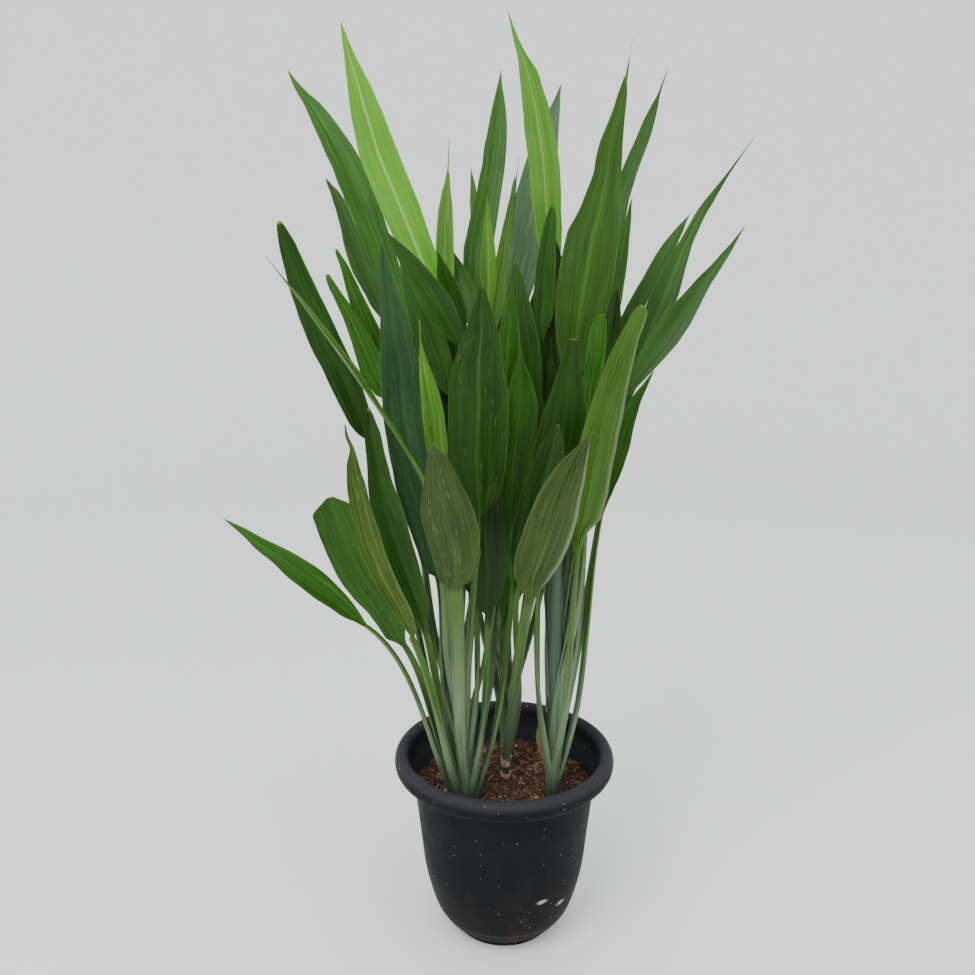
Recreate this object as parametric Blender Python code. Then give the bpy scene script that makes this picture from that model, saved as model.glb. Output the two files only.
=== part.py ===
"""A potted dracaena: three leafy shoots in a plain round pot of soil.

Metres, +Z up. The origin is the middle of the pot's flat underside, -Y is the front and +X is the
right-hand side seen from the front. The leaves' places are written in centimetres and degrees, as
they would be measured with a rule. A bearing of 0 points along +X, 90 to the back, 180 to the left.
"""

import math
from dataclasses import dataclass

import bmesh
import bpy
import numpy as np

CM = 0.01
GAP = 0.0004                 # clearance kept between pieces that touch
SHARP_ANGLE = 40.0           # degrees between faces, above which their edge stays sharp

# Pot, turned about Z
POT_SIDES = 48
POT_WALL = 0.0022
POT_FLOOR = 0.0030
FOOT_RADIUS = 0.0606
FOOT_TOP = (0.0625, 0.0105)
WALL_OUTSIDE = (          # (radius, height) up the outside, above the foot
    (0.0705, 0.0125), (0.0765, 0.0200), (0.0830, 0.0320), (0.0890, 0.0500), (0.0958, 0.0800),
    (0.1003, 0.1200), (0.1047, 0.1600), (0.1085, 0.1950),
)
LIP_CENTRE = (0.1215, 0.2130)
LIP_HALF_WIDTH = 0.0085
LIP_HALF_HEIGHT = 0.0120
LIP_ENDS = (-120.0, 165.0)   # degrees round the rolled lip, 0 at its outermost
LIP_STEPS = 8
DRAIN_HOLES = 6
DRAIN_RADIUS = 0.0050
DRAIN_RING = 0.0400
DRAIN_SIDES = 12

# Soil
SOIL_TOP = 0.178
SOIL_RINGS = (0.93, 0.78, 0.60, 0.42, 0.22)   # of the soil's radius
SOIL_LUMP = 0.0016
SOIL_WAVES = (               # (radians a metre along x and along y, phase, share of the lump)
    (230.0, 190.0, 1.0, 0.5), (230.0, -190.0, 1.0, 0.5), (-300.0, 410.0, 0.0, 0.6),
)
SOIL_DOME = 0.0030
STEM_DEPTH = 6.0             # cm of each shoot that stands below the soil's top
HOLE_TOP = 2.0               # cm over the soil's top that the holes are cut from

# Shoots
STEM_SIDES = 24

# Petioles and blades
ROOT_WIDTH = 0.0090
NECK_WIDTH = 0.0048
ROOT_THICK = 0.0036
NECK_THICK = 0.0034
RIB_THICK = 0.0016
RIB_THINS = 0.55             # share of the rib's thickness lost by the tip
EDGE_THICK = 0.0007
END_WIDTH = 0.0012
EDGE_SHARE = 0.45            # a petiole's edge thickness, of its middle's
PETIOLE_FOLD = 12.0
PETIOLE_SPREAD = 0.40        # how far a petiole leans out as it leaves its shoot
PETIOLE_PULL = 0.85
NECK_BLEND = 0.10            # of the blade's length, over which the petiole flattens into it
CUT_END = 0.35               # width of a trimmed leaf's end, of its width there
PETIOLE_STEPS = np.array([0.0, 0.15, 0.35, 0.60, 0.83])
BLADE_STEPS = np.array([0.0, 0.05, 0.12, 0.22, 0.34, 0.46, 0.58, 0.70, 0.82, 0.92, 1.0])

# Dry scraps
HUSK_LINE = (                # (x, height over the soil, width) in cm, up the right shoot's left
    (4.70, 4.60, 0.20), (4.30, 5.80, 0.52), (3.98, 7.30, 0.69), (3.98, 8.55, 0.57),
    (4.07, 9.37, 0.23),
)
HUSK_DEPTH = -3.7
HUSK_CURL = 0.25
HUSK_THICK = 0.10
COLLAR_HEIGHTS = (1.8, 2.2, 2.6, 2.9)
COLLAR_FLARE = (0.0, 0.02, 0.08, 0.16)
COLLAR_THICK = 0.10


@dataclass(frozen=True)
class BladeForm:
    """Outline of a blade: where it is widest, and how full its base and its point are."""

    widest: float
    base_power: float
    tip_power: float
    tip_exponent: float


BROAD = BladeForm(0.36, 2.6, 1.8, 1.0)
LANCE = BladeForm(0.42, 2.4, 1.6, 1.1)
STRAP = BladeForm(0.50, 2.2, 1.8, 1.0)
PADDLE = BladeForm(0.28, 2.6, 1.5, 1.3)
OVAL = BladeForm(0.40, 3.6, 2.0, 1.0)
TAIL = BladeForm(0.30, 2.4, 1.3, 1.6)


@dataclass(frozen=True)
class Shoot:
    """A shoot: its foot on the soil, its lean for each cm of height, and (height, radius) pairs."""

    foot: tuple
    lean: tuple
    radii: tuple

    def axis(self, height):
        """The middle of the shoot at a height in cm above the soil, in metres."""
        return np.array([self.foot[0] + self.lean[0] * height,
                         self.foot[1] + self.lean[1] * height,
                         SOIL_TOP / CM + height]) * CM

    def radius(self, height):
        """The shoot's radius there, in metres."""
        heights, radii = zip(*self.radii)
        return float(np.interp(height, heights, radii)) * CM


@dataclass(frozen=True)
class Leaf:
    """One leaf: a petiole from its shoot to the neck, and a blade from the neck to the tip.

    root is the height on the shoot and turn the bearing there. face is the bearing that the
    blade's upper side looks to. bow lifts the blade's middle and sway moves it sideways. fold
    raises both halves of the blade from its rib, and cut is the share that is left of a leaf
    whose tip has been trimmed.
    """

    shoot: str
    root: float
    turn: float
    neck: tuple
    tip: tuple
    width: float
    face: float
    form: BladeForm
    tone: str
    bow: float = 0.0
    sway: float = 0.0
    fold: float = 14.0
    cut: float = 1.0


SHOOTS = {
    "left": Shoot((-4.4, -4.5), (-0.03, -0.04),
                  ((0, 1.20), (6, 1.10), (14, 0.90), (20, 0.75), (26, 0.40))),
    "middle": Shoot((0.2, 0.7), (0.01, 0.0),
                    ((0, 0.42), (5, 0.45), (8, 0.75), (14, 0.70), (22, 0.30))),
    "right": Shoot((5.6, -3.8), (0.0, 0.01),
                   ((0, 0.68), (8, 0.80), (16, 1.00), (24, 1.00), (32, 0.40))),
}

LEAVES = (
    Leaf("left", 0.8, -165, (-14.1, -11.0, 41.5), (-27.2, -15.0, 54.1), 4.0, -5, LANCE, "dark",
         bow=0.5, fold=20),
    Leaf("left", 2.5, 175, (-10.8, -7.0, 37.9), (-17.8, -9.0, 54.9), 4.8, -80, BROAD, "dark",
         bow=-0.6, cut=0.72),
    Leaf("left", 1.5, -125, (-9.5, -12.0, 40.8), (-14.7, -17.0, 63.5), 3.2, -50, PADDLE, "mid",
         bow=-1.0, fold=25),
    Leaf("left", 4.5, -145, (-8.6, -8.0, 40.4), (-13.5, -11.0, 64.2), 4.4, -60, OVAL, "dark",
         bow=-0.5, fold=32),
    Leaf("left", 10.0, -160, (-7.3, -6.0, 45.4), (-12.1, -9.0, 80.3), 5.0, -80, OVAL, "dark",
         bow=-0.5, sway=0.6),
    Leaf("left", 5.0, -95, (-5.1, -13.0, 46.6), (-6.4, -21.0, 62.4), 5.5, 85, OVAL, "mid",
         bow=0.4),
    Leaf("left", 5.5, 170, (-14.7, -3.0, 59.8), (-22.9, -5.0, 82.4), 3.6, -75, BROAD, "mid",
         bow=-0.3),
    Leaf("left", 13.0, -125, (-9.1, -12.0, 59.3), (-21.8, -15.0, 78.6), 3.0, 5, LANCE, "light",
         bow=0.2, fold=30),
    Leaf("left", 8.0, 180, (-12.1, -2.5, 63.9), (-18.6, -3.0, 77.2), 3.0, -75, LANCE, "mid"),
    Leaf("left", 12.0, 155, (-12.5, 0.0, 64.4), (-18.1, 0.0, 79.9), 3.0, -75, LANCE, "mid"),
    Leaf("left", 10.0, -75, (-2.6, -10.0, 53.0), (-2.1, -16.0, 76.0), 6.0, -90, BROAD, "mid",
         bow=0.2, sway=-0.4),
    Leaf("left", 16.0, -115, (-6.0, -8.0, 54.9), (-8.3, -11.0, 72.8), 2.6, -90, BROAD, "light"),
    Leaf("left", 20.0, -140, (-4.4, -5.0, 69.6), (-11.3, -12.0, 81.0), 3.3, -110, LANCE, "dark",
         bow=0.6),
    Leaf("left", 18.0, 165, (-5.7, -3.0, 64.2), (-11.0, -4.0, 79.1), 3.2, -80, LANCE, "dark"),
    Leaf("left", 13.0, 120, (-10.5, 3.0, 69.1), (-24.0, 7.0, 99.2), 3.8, -75, STRAP, "dark",
         bow=1.9),
    Leaf("left", 19.0, 90, (-5.8, -1.0, 72.0), (-16.7, -1.0, 101.9), 4.1, -85, STRAP, "light",
         bow=-0.7),
    Leaf("left", 7.0, 115, (-12.9, 8.0, 70.5), (-21.8, 15.0, 88.9), 3.0, -60, LANCE, "dark"),
    Leaf("left", 22.0, 20, (-4.3, -4.0, 71.1), (-6.9, -6.0, 79.5), 2.6, -110, LANCE, "mid"),
    Leaf("left", 3.0, -45, (-1.9, -7.3, 41.5), (-2.2, -8.3, 60.5), 4.2, -80, OVAL, "dark"),
    Leaf("left", 8.0, -50, (-3.1, -6.3, 42.8), (-4.2, -6.8, 60.5), 3.5, -100, OVAL, "dark"),
    Leaf("left", 1.5, -5, (0.8, -5.0, 44.7), (1.4, -9.5, 69.5), 4.8, -85, BROAD, "mid"),
    Leaf("left", 5.5, 20, (-0.6, -4.0, 56.8), (0.6, -9.5, 76.6), 3.6, -80, LANCE, "mid"),

    Leaf("middle", 4.5, -78, (2.6, -12.0, 45.3), (7.6, -21.0, 63.5), 5.0, 100, OVAL, "mid",
         bow=0.3, sway=0.4),
    Leaf("middle", 9.5, -95, (-0.1, -3.0, 39.2), (2.7, -4.0, 53.5), 3.0, -90, LANCE, "mid"),
    Leaf("middle", 5.5, -35, (1.6, -9.5, 46.5), (5.0, -13.5, 63.0), 4.2, -90, OVAL, "dark",
         cut=0.92),
    Leaf("middle", 13.0, -43, (2.7, -1.5, 56.3), (0.9, -6.0, 78.5), 4.4, -80, LANCE, "dark"),
    Leaf("middle", 6.0, 113, (-3.3, 9.0, 71.1), (-0.7, 17.0, 101.4), 3.5, -85, LANCE, "dark"),
    Leaf("middle", 17.0, -135, (-1.8, 0.0, 72.5), (-2.0, -1.0, 85.4), 1.8, -90, LANCE, "light"),
    Leaf("middle", 13.0, 112, (-1.8, 6.0, 70.1), (1.0, 10.0, 88.6), 2.8, -90, LANCE, "light"),
    Leaf("middle", 9.0, 92, (-0.1, 11.0, 69.2), (6.6, 19.0, 100.2), 4.6, -90, LANCE, "dark"),
    Leaf("middle", 10.0, 144, (-6.9, 6.0, 71.8), (-6.6, 12.0, 93.1), 2.2, -90, TAIL, "light"),
    Leaf("middle", 15.0, 160, (-3.4, 5.0, 71.2), (-6.3, 11.0, 80.3), 2.8, -90, LANCE, "dark"),
    Leaf("middle", 3.2, 103, (-2.9, 14.0, 74.5), (-4.5, 21.0, 91.0), 2.2, -60, LANCE, "light"),

    Leaf("right", 5.0, -125, (3.8, -7.5, 46.7), (6.5, -11.0, 71.0), 5.4, -90, BROAD, "mid",
         cut=0.85),
    Leaf("right", 6.0, -65, (7.3, -11.0, 48.8), (12.0, -17.5, 74.2), 4.2, 80, OVAL, "light",
         bow=0.5, sway=0.6, cut=0.90),
    Leaf("right", 17.0, -24, (8.7, -5.0, 61.3), (9.7, -7.0, 73.2), 2.8, -90, OVAL, "mid",
         cut=0.85),
    Leaf("right", 4.0, 9, (10.4, -3.0, 51.1), (15.1, -6.0, 67.5), 3.0, -130, OVAL, "dark",
         bow=0.6),
    Leaf("right", 11.0, 15, (11.7, -1.0, 63.1), (25.3, 1.0, 82.2), 3.2, -110, LANCE, "dark"),
    Leaf("right", 7.0, 44, (13.5, 4.0, 62.3), (27.8, 9.0, 92.4), 3.2, -110, TAIL, "dark",
         bow=1.5),
    Leaf("right", 13.0, 65, (11.1, 8.0, 66.5), (22.2, 15.0, 84.6), 3.2, -120, LANCE, "dark"),
    Leaf("right", 20.0, 0, (7.2, -2.0, 66.9), (11.2, -8.0, 95.1), 6.4, -95, PADDLE, "dark"),
    Leaf("right", 16.0, 62, (10.8, 6.0, 70.1), (18.5, 13.0, 100.5), 2.9, -100, LANCE, "dark",
         bow=1.4),
    Leaf("right", 21.0, 60, (10.6, 3.0, 67.5), (14.0, 6.0, 86.0), 2.0, -90, LANCE, "mid"),
    Leaf("right", 19.0, 85, (9.1, 6.5, 71.2), (14.5, 14.0, 104.1), 2.4, -80, TAIL, "dark"),
    Leaf("right", 23.0, 110, (5.4, 4.0, 71.3), (0.1, 6.0, 104.8), 3.9, -85, STRAP, "light",
         bow=1.6),
    Leaf("right", 25.0, 130, (3.8, 1.5, 69.7), (4.8, 0.0, 84.3), 3.6, -75, LANCE, "dark",
         fold=25),
)

# name: (sRGB colour, roughness)
FINISHES = {
    "pot_plastic": ("24272c", 0.55),
    "soil": ("4a2f20", 0.95),
    "stem_green": ("7d9473", 0.50),
    "leaf_dark": ("2b5a2c", 0.38),
    "leaf_mid": ("477f2e", 0.40),
    "leaf_light": ("7bab45", 0.42),
    "dry_sheath": ("a07a4f", 0.85),
}


def srgb_to_linear(code):
    """Linear red, green, blue and alpha of an sRGB hex colour."""
    values = [int(code[i:i + 2], 16) / 255 for i in (0, 2, 4)]
    return [v / 12.92 if v <= 0.04045 else ((v + 0.055) / 1.055) ** 2.4 for v in values] + [1.0]


def make_materials():
    """One Principled BSDF for each finish."""
    materials = {}
    for name, (colour, roughness) in FINISHES.items():
        material = bpy.data.materials.new(name)
        material.use_nodes = True
        shader = material.node_tree.nodes["Principled BSDF"]
        shader.inputs["Base Color"].default_value = srgb_to_linear(colour)
        shader.inputs["Roughness"].default_value = roughness
        shader.inputs["Metallic"].default_value = 0.0
        materials[name] = material
    return materials


def add_piece(name, verts, faces, material, parent, location=(0.0, 0.0, 0.0)):
    """A closed mesh object at a location, its faces turned outwards and shaded smooth."""
    mesh = bpy.data.meshes.new(name)
    local = np.asarray(verts) - np.asarray(location)
    mesh.from_pydata(local.tolist(), [], [tuple(int(i) for i in face) for face in faces])
    shape = bmesh.new()
    shape.from_mesh(mesh)
    bmesh.ops.recalc_face_normals(shape, faces=shape.faces)
    shape.to_mesh(mesh)
    shape.free()
    mesh.shade_smooth()
    mesh.set_sharp_from_angle(angle=math.radians(SHARP_ANGLE))
    piece = bpy.data.objects.new(name, mesh)
    piece.location = location
    bpy.context.scene.collection.objects.link(piece)
    piece.parent = parent
    if material is not None:
        mesh.materials.append(material)
    return piece


def cut_from(piece, cutter):
    """A Boolean difference that leaves the cutter in the scene as a wire guide."""
    cutter.hide_render = True
    cutter.display_type = "WIRE"
    cut = piece.modifiers.new(cutter.name, "BOOLEAN")
    cut.operation = "DIFFERENCE"
    cut.solver = "EXACT"
    cut.object = cutter


def turned_solid(profile, sides):
    """Points and faces of an open profile turned about Z, closed with a flat face at each end."""
    line = np.array(profile)
    angle = np.arange(sides) * 2 * math.pi / sides
    rings = np.stack([line[:, :1] * np.cos(angle), line[:, :1] * np.sin(angle),
                      np.repeat(line[:, 1:], sides, axis=1)], axis=2)
    return rings.reshape(-1, 3), capped_rings(len(line), sides)


def capped_rings(rings, sides):
    """Faces that join rings of points one after another and close the first and the last."""
    faces = [tuple(range(sides))[::-1]]
    for ring in range(rings - 1):
        low, high = ring * sides, (ring + 1) * sides
        for k in range(sides):
            after = (k + 1) % sides
            faces.append((low + k, low + after, high + after, high + k))
    faces.append(tuple(range((rings - 1) * sides, rings * sides)))
    return faces


def tube_solid(centres, radii, sides):
    """Points and faces of a tube round a nearly upright line of centres, closed at both ends."""
    angle = np.arange(sides) * 2 * math.pi / sides
    circle = np.stack([np.cos(angle), np.sin(angle), np.zeros(sides)], axis=1)
    rings = np.asarray(centres)[:, None] + np.asarray(radii)[:, None, None] * circle
    return rings.reshape(-1, 3), capped_rings(len(centres), sides)


def ellipse_arc(centre, half_width, half_height, start, end, steps):
    """Points (radius, height) along an ellipse from one angle in degrees to another."""
    angle = np.radians(np.linspace(start, end, steps))
    return [(centre[0] + half_width * math.cos(a), centre[1] + half_height * math.sin(a))
            for a in angle]


def wall_inside():
    """The pot's inner side, from the floor's edge up to the lip, as (radius, height)."""
    foot = [(FOOT_RADIUS - POT_WALL, POT_FLOOR),
            (FOOT_TOP[0] - POT_WALL, FOOT_TOP[1] + POT_WALL)]
    bend = [(radius - POT_WALL, height + POT_WALL / 2) for radius, height in WALL_OUTSIDE[:2]]
    wall = [(radius - POT_WALL, height) for radius, height in WALL_OUTSIDE[2:]]
    return foot + bend + wall


def make_pot(material, parent):
    """A thin plastic pot: flat foot, bowl-shaped wall, rolled lip and drain holes."""
    outer_lip = ellipse_arc(LIP_CENTRE, LIP_HALF_WIDTH, LIP_HALF_HEIGHT, *LIP_ENDS, LIP_STEPS)
    inner_lip = ellipse_arc(LIP_CENTRE, LIP_HALF_WIDTH - POT_WALL, LIP_HALF_HEIGHT - POT_WALL,
                            *LIP_ENDS[::-1], LIP_STEPS)
    profile = [(FOOT_RADIUS, 0.0), FOOT_TOP, *WALL_OUTSIDE,
               *inner_lip, *outer_lip, *wall_inside()[::-1]]
    pot = add_piece("pot", *turned_solid(profile, POT_SIDES), material, parent)
    for hole in range(DRAIN_HOLES):
        angle = 2 * math.pi * hole / DRAIN_HOLES
        centre = np.array([DRAIN_RING * math.cos(angle), DRAIN_RING * math.sin(angle), 0.0])
        ends = [centre + [0, 0, -POT_FLOOR], centre + [0, 0, 2 * POT_FLOOR]]
        drill = tube_solid(ends, [DRAIN_RADIUS] * 2, DRAIN_SIDES)
        cut_from(pot, add_piece(f"drain_hole_{hole}", *drill, None, parent))


def soil_lumps(x, y):
    """Height of the soil's crumbs over its mean level."""
    return SOIL_LUMP * sum(share * np.sin(along_x * x + along_y * y + phase)
                           for along_x, along_y, phase, share in SOIL_WAVES)


def stem_solid(shoot, margin=0.0, top=None, bottom=-STEM_DEPTH):
    """A shoot's tapering tube, wider by a margin, between two heights in cm over the soil."""
    marks = [height for height, _ in shoot.radii]
    top = marks[-1] if top is None else top
    heights = [bottom] + [mark for mark in marks if bottom < mark < top] + [top]
    centres = [shoot.axis(height) for height in heights]
    radii = [shoot.radius(height) + margin for height in heights]
    return tube_solid(centres, radii, STEM_SIDES)


def make_soil(material, parent):
    """The root ball that fills the pot, its top crumbly, with a plain hole for each stem."""
    side = [(radius - GAP, height + GAP) for radius, height in wall_inside() if height < SOIL_TOP]
    inside = wall_inside()
    edge = float(np.interp(SOIL_TOP, [p[1] for p in inside], [p[0] for p in inside])) - GAP
    rings = [(edge * share, SOIL_TOP) for share in SOIL_RINGS]
    profile = [*side, (edge, SOIL_TOP), *rings]
    verts, faces = turned_solid(profile, POT_SIDES)
    on_top = verts[:, 2] > SOIL_TOP - GAP
    reach = np.hypot(verts[:, 0], verts[:, 1]) / edge
    flat_middle = np.clip((reach - SOIL_RINGS[-1]) / SOIL_RINGS[-1], 0, 1)
    rise = SOIL_DOME * (1 - reach ** 2) + flat_middle * soil_lumps(verts[:, 0], verts[:, 1])
    verts[:, 2] += np.where(on_top, rise, 0.0)
    soil = add_piece("soil", verts, faces, material, parent)
    for name, shoot in SHOOTS.items():
        hole = stem_solid(shoot, GAP, HOLE_TOP, -STEM_DEPTH - GAP / CM)
        cut_from(soil, add_piece(f"hole_{name}", *hole, None, parent))


def make_stem(name, shoot, material, parent):
    """The cane and the clasping leaf bases round it, as one tapering tube."""
    verts, faces = stem_solid(shoot)
    add_piece(f"stem_{name}", verts, faces, material, parent, shoot.axis(0))


def unit(vectors):
    """Vectors brought to length 1."""
    return vectors / np.linalg.norm(vectors, axis=-1, keepdims=True)


def level_vector(bearing):
    """Level unit vectors that point to bearings given in degrees."""
    angle = np.radians(bearing)
    return np.stack([np.cos(angle), np.sin(angle), np.zeros_like(angle)], axis=-1)


def leaf_line(leaf):
    """A leaf's middle line: points, directions, and the bearing that its upper side faces.

    The petiole is a cubic between two ends with known directions, and the blade is a parabola
    through a middle point that bow and sway move off the straight line.
    """
    shoot = SHOOTS[leaf.shoot]
    outward = level_vector(np.float64(leaf.turn))
    root = shoot.axis(leaf.root) + outward * (shoot.radius(leaf.root) + ROOT_THICK / 2 + GAP)
    neck, tip = np.array(leaf.neck) * CM, np.array(leaf.tip) * CM
    chord = unit(tip - neck)
    lifted = unit(np.array([0.0, 0.0, 1.0]) - chord[2] * chord)
    across = np.cross(chord, lifted)
    middle = (neck + tip) / 2 + 2 * CM * (leaf.bow * lifted + leaf.sway * across)
    pull = PETIOLE_PULL * np.linalg.norm(neck - root)
    leave = pull * unit(unit(np.array([*shoot.lean, 1.0])) + PETIOLE_SPREAD * outward)
    arrive = pull * unit(middle - neck)
    u = PETIOLE_STEPS[:, None]
    petiole = ((2 * u**3 - 3 * u**2 + 1) * root + (u**3 - 2 * u**2 + u) * leave
               + (3 * u**2 - 2 * u**3) * neck + (u**3 - u**2) * arrive)
    petiole_way = ((6 * u**2 - 6 * u) * (root - neck) + (3 * u**2 - 4 * u + 1) * leave
                   + (3 * u**2 - 2 * u) * arrive)
    s = BLADE_STEPS[:, None]
    blade = (1 - s)**2 * neck + 2 * s * (1 - s) * middle + s**2 * tip
    blade_way = 2 * (1 - s) * (middle - neck) + 2 * s * (tip - middle)
    start = leaf.turn + 180
    swing = (leaf.face - start + 180) % 360 - 180
    ease = PETIOLE_STEPS**2 * (3 - 2 * PETIOLE_STEPS)
    facing = np.concatenate([start + swing * ease, np.full(len(BLADE_STEPS), float(leaf.face))])
    return np.concatenate([petiole, blade]), unit(np.concatenate([petiole_way, blade_way])), facing


def blade_widths(leaf):
    """Width along the blade: it fills out from the neck to its widest place, then tapers."""
    form = leaf.form
    along = BLADE_STEPS * leaf.cut
    filled = 1 - (1 - np.minimum(along / form.widest, 1)) ** form.base_power
    beyond = np.clip((along - form.widest) / (1 - form.widest), 0, 1)
    width = leaf.width * CM * filled * (1 - beyond ** form.tip_power) ** form.tip_exponent
    if leaf.cut < 1:
        width[-1] *= CUT_END
    width[0] = max(width[0], NECK_WIDTH)
    return np.maximum(width, END_WIDTH)


def leaf_sections(leaf):
    """Six points round each section: both edges and the rib, above and below."""
    points, way, facing = leaf_line(leaf)
    side = unit(np.cross(way, level_vector(facing)))
    upper = np.cross(side, way)
    petiole_width = ROOT_WIDTH + (NECK_WIDTH - ROOT_WIDTH) * PETIOLE_STEPS
    petiole_thick = ROOT_THICK + (NECK_THICK - ROOT_THICK) * PETIOLE_STEPS
    like_petiole = np.clip(1 - BLADE_STEPS / NECK_BLEND, 0, 1)
    rib = RIB_THICK * (1 - RIB_THINS * BLADE_STEPS)
    rib = rib + (NECK_THICK - rib) * like_petiole
    edge = EDGE_THICK + (NECK_THICK * EDGE_SHARE - EDGE_THICK) * like_petiole
    fold = leaf.fold + (PETIOLE_FOLD - leaf.fold) * like_petiole
    half = np.concatenate([petiole_width, blade_widths(leaf)]) / 2
    rib = np.concatenate([petiole_thick, rib]) / 2
    edge = np.concatenate([petiole_thick * EDGE_SHARE, edge]) / 2
    fold = np.radians(np.concatenate([np.full(len(PETIOLE_STEPS), PETIOLE_FOLD), fold]))
    out, up = half * np.cos(fold), half * np.sin(fold)

    def offset(sideways, upwards):
        return points + side * sideways[:, None] + upper * upwards[:, None]

    level = np.zeros_like(rib)
    return np.stack([offset(-out, up + edge), offset(level, rib), offset(out, up + edge),
                     offset(out, up - edge), offset(level, -rib), offset(-out, up - edge)], axis=1)


def leaf_faces(sections):
    """Triangles between sections, split alike above and below so that a blade never crosses."""
    faces = []
    for i in range(sections - 1):
        here, there = 6 * i, 6 * (i + 1)
        for k in range(6):
            after = (k + 1) % 6
            a, b, c, d = here + k, here + after, there + after, there + k
            if k in (1, 4):
                faces += [(a, b, d), (b, c, d)]
            else:
                faces += [(a, b, c), (a, c, d)]
    start = [(0, 5, 1), (5, 4, 1), (1, 4, 2), (4, 3, 2)]
    last = 6 * (sections - 1)
    return faces + start + [(last + a, last + c, last + b) for a, b, c in start]


def make_leaf(name, leaf, material, parent):
    """One leaf, petiole and blade in one piece, placed at its root."""
    rings = leaf_sections(leaf)
    root = rings[0].mean(axis=0)
    add_piece(name, rings.reshape(-1, 3), leaf_faces(len(rings)), material, parent, root)


def husk_solid():
    """A dry curled scrap of leaf base that clings to the left of the right shoot."""
    rings = []
    for x, height, width in HUSK_LINE:
        centre = np.array([x, HUSK_DEPTH, SOIL_TOP / CM + height])
        half, thick, curl = width / 2, HUSK_THICK / 2, HUSK_CURL * width
        ring = [(-half, curl + thick), (0.0, thick), (half, curl + thick),
                (half, curl - thick), (0.0, -thick), (-half, curl - thick)]
        rings.append([(centre + [sideways, back, 0.0]) * CM for sideways, back in ring])
    return np.array(rings).reshape(-1, 3), leaf_faces(len(rings))


def collar_solid(shoot):
    """A dry papery collar that clasps a shoot low down, flaring raggedly at its top."""
    angle = np.arange(STEM_SIDES) * 2 * math.pi / STEM_SIDES
    circle = np.stack([np.cos(angle), np.sin(angle), np.zeros(STEM_SIDES)], axis=1)
    inside, outside = [], []
    for height, flare in zip(COLLAR_HEIGHTS, COLLAR_FLARE):
        radius = (shoot.radius(height) + GAP + flare * CM) * (1 + flare * np.sin(3 * angle))
        inside.append(shoot.axis(height) + radius[:, None] * circle)
        outside.append(shoot.axis(height) + (radius[:, None] + COLLAR_THICK * CM) * circle)
    loops = np.array(outside + inside[::-1])
    faces = []
    for row in range(len(loops)):
        low, high = row * STEM_SIDES, (row + 1) % len(loops) * STEM_SIDES
        for k in range(STEM_SIDES):
            after = (k + 1) % STEM_SIDES
            faces.append((low + k, low + after, high + after, high + k))
    return loops.reshape(-1, 3), faces


def main():
    """Build the pot, the soil, the three shoots and every leaf."""
    for old in list(bpy.data.objects):
        bpy.data.objects.remove(old, do_unlink=True)
    plant = bpy.data.objects.new("potted_dracaena", None)
    bpy.context.scene.collection.objects.link(plant)
    materials = make_materials()
    make_pot(materials["pot_plastic"], plant)
    make_soil(materials["soil"], plant)
    for name, shoot in SHOOTS.items():
        make_stem(name, shoot, materials["stem_green"], plant)
        leaves = [leaf for leaf in LEAVES if leaf.shoot == name]
        for number, leaf in enumerate(leaves, start=1):
            make_leaf(f"leaf_{name}_{number:02d}", leaf, materials[f"leaf_{leaf.tone}"], plant)
    dry = materials["dry_sheath"]
    add_piece("dry_sheath_right", *husk_solid(), dry, plant)
    add_piece("dry_sheath_middle", *collar_solid(SHOOTS["middle"]), dry, plant)


main()
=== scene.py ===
"""Looks of a potted dracaena: fine leaves, sheaths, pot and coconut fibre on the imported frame.

Lengths are in metres unless a name or comment says otherwise. The leaves' places are in centimetres and
degrees, as on the frame: a bearing of 0 points along +X, 90 to the back and 180 to the left.
"""

import logging
import math
from collections.abc import Sequence
from dataclasses import dataclass, field
from enum import Enum

import bpy
import numpy as np
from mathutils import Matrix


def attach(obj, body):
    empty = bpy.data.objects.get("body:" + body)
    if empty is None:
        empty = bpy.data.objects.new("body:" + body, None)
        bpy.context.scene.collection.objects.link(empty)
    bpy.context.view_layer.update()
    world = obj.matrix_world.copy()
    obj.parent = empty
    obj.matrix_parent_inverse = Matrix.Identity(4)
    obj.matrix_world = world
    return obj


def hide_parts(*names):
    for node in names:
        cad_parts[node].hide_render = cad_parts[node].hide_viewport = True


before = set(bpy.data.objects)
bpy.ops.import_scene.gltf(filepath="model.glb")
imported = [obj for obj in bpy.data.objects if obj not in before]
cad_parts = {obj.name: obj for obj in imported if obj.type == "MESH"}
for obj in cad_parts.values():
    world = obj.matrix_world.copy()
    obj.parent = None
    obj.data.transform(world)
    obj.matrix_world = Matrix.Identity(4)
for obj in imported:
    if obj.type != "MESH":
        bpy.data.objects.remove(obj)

LOG = logging.getLogger("potted_dracaena")
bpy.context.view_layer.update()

CM = 0.01
MM = 0.001
TINY = 1e-12                 # keeps a length that is divided by from being 0
GAP = 0.0004
SOIL_TOP = 0.178
UP = np.array([0.0, 0.0, 1.0])

# Camera, worked out from the ellipses of the rim, the soil and the foot
EYE = (0.0, -0.987, 0.750)
PITCH_DOWN = 12.0
YAW_LEFT = 1.15
LENS_MM = 33.23
SENSOR_MM = 36.0

# Petioles and blades, as on the frame but for thinner edges and ends
ROOT_WIDTH = 0.0090
NECK_WIDTH = 0.0048
ROOT_THICK = 0.0036
RIB_THICK = 0.0016
RIB_THINS = 0.55
EDGE_THICK = 0.0005
END_WIDTH = 0.0004
PETIOLE_FOLD = 12.0
PETIOLE_SPREAD = 0.40
PETIOLE_PULL = 0.85
NECK_BLEND = 0.10
CUT_START = 0.92             # of a trimmed blade's length, where its slanted end begins
CUT_END = 0.35

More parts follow.
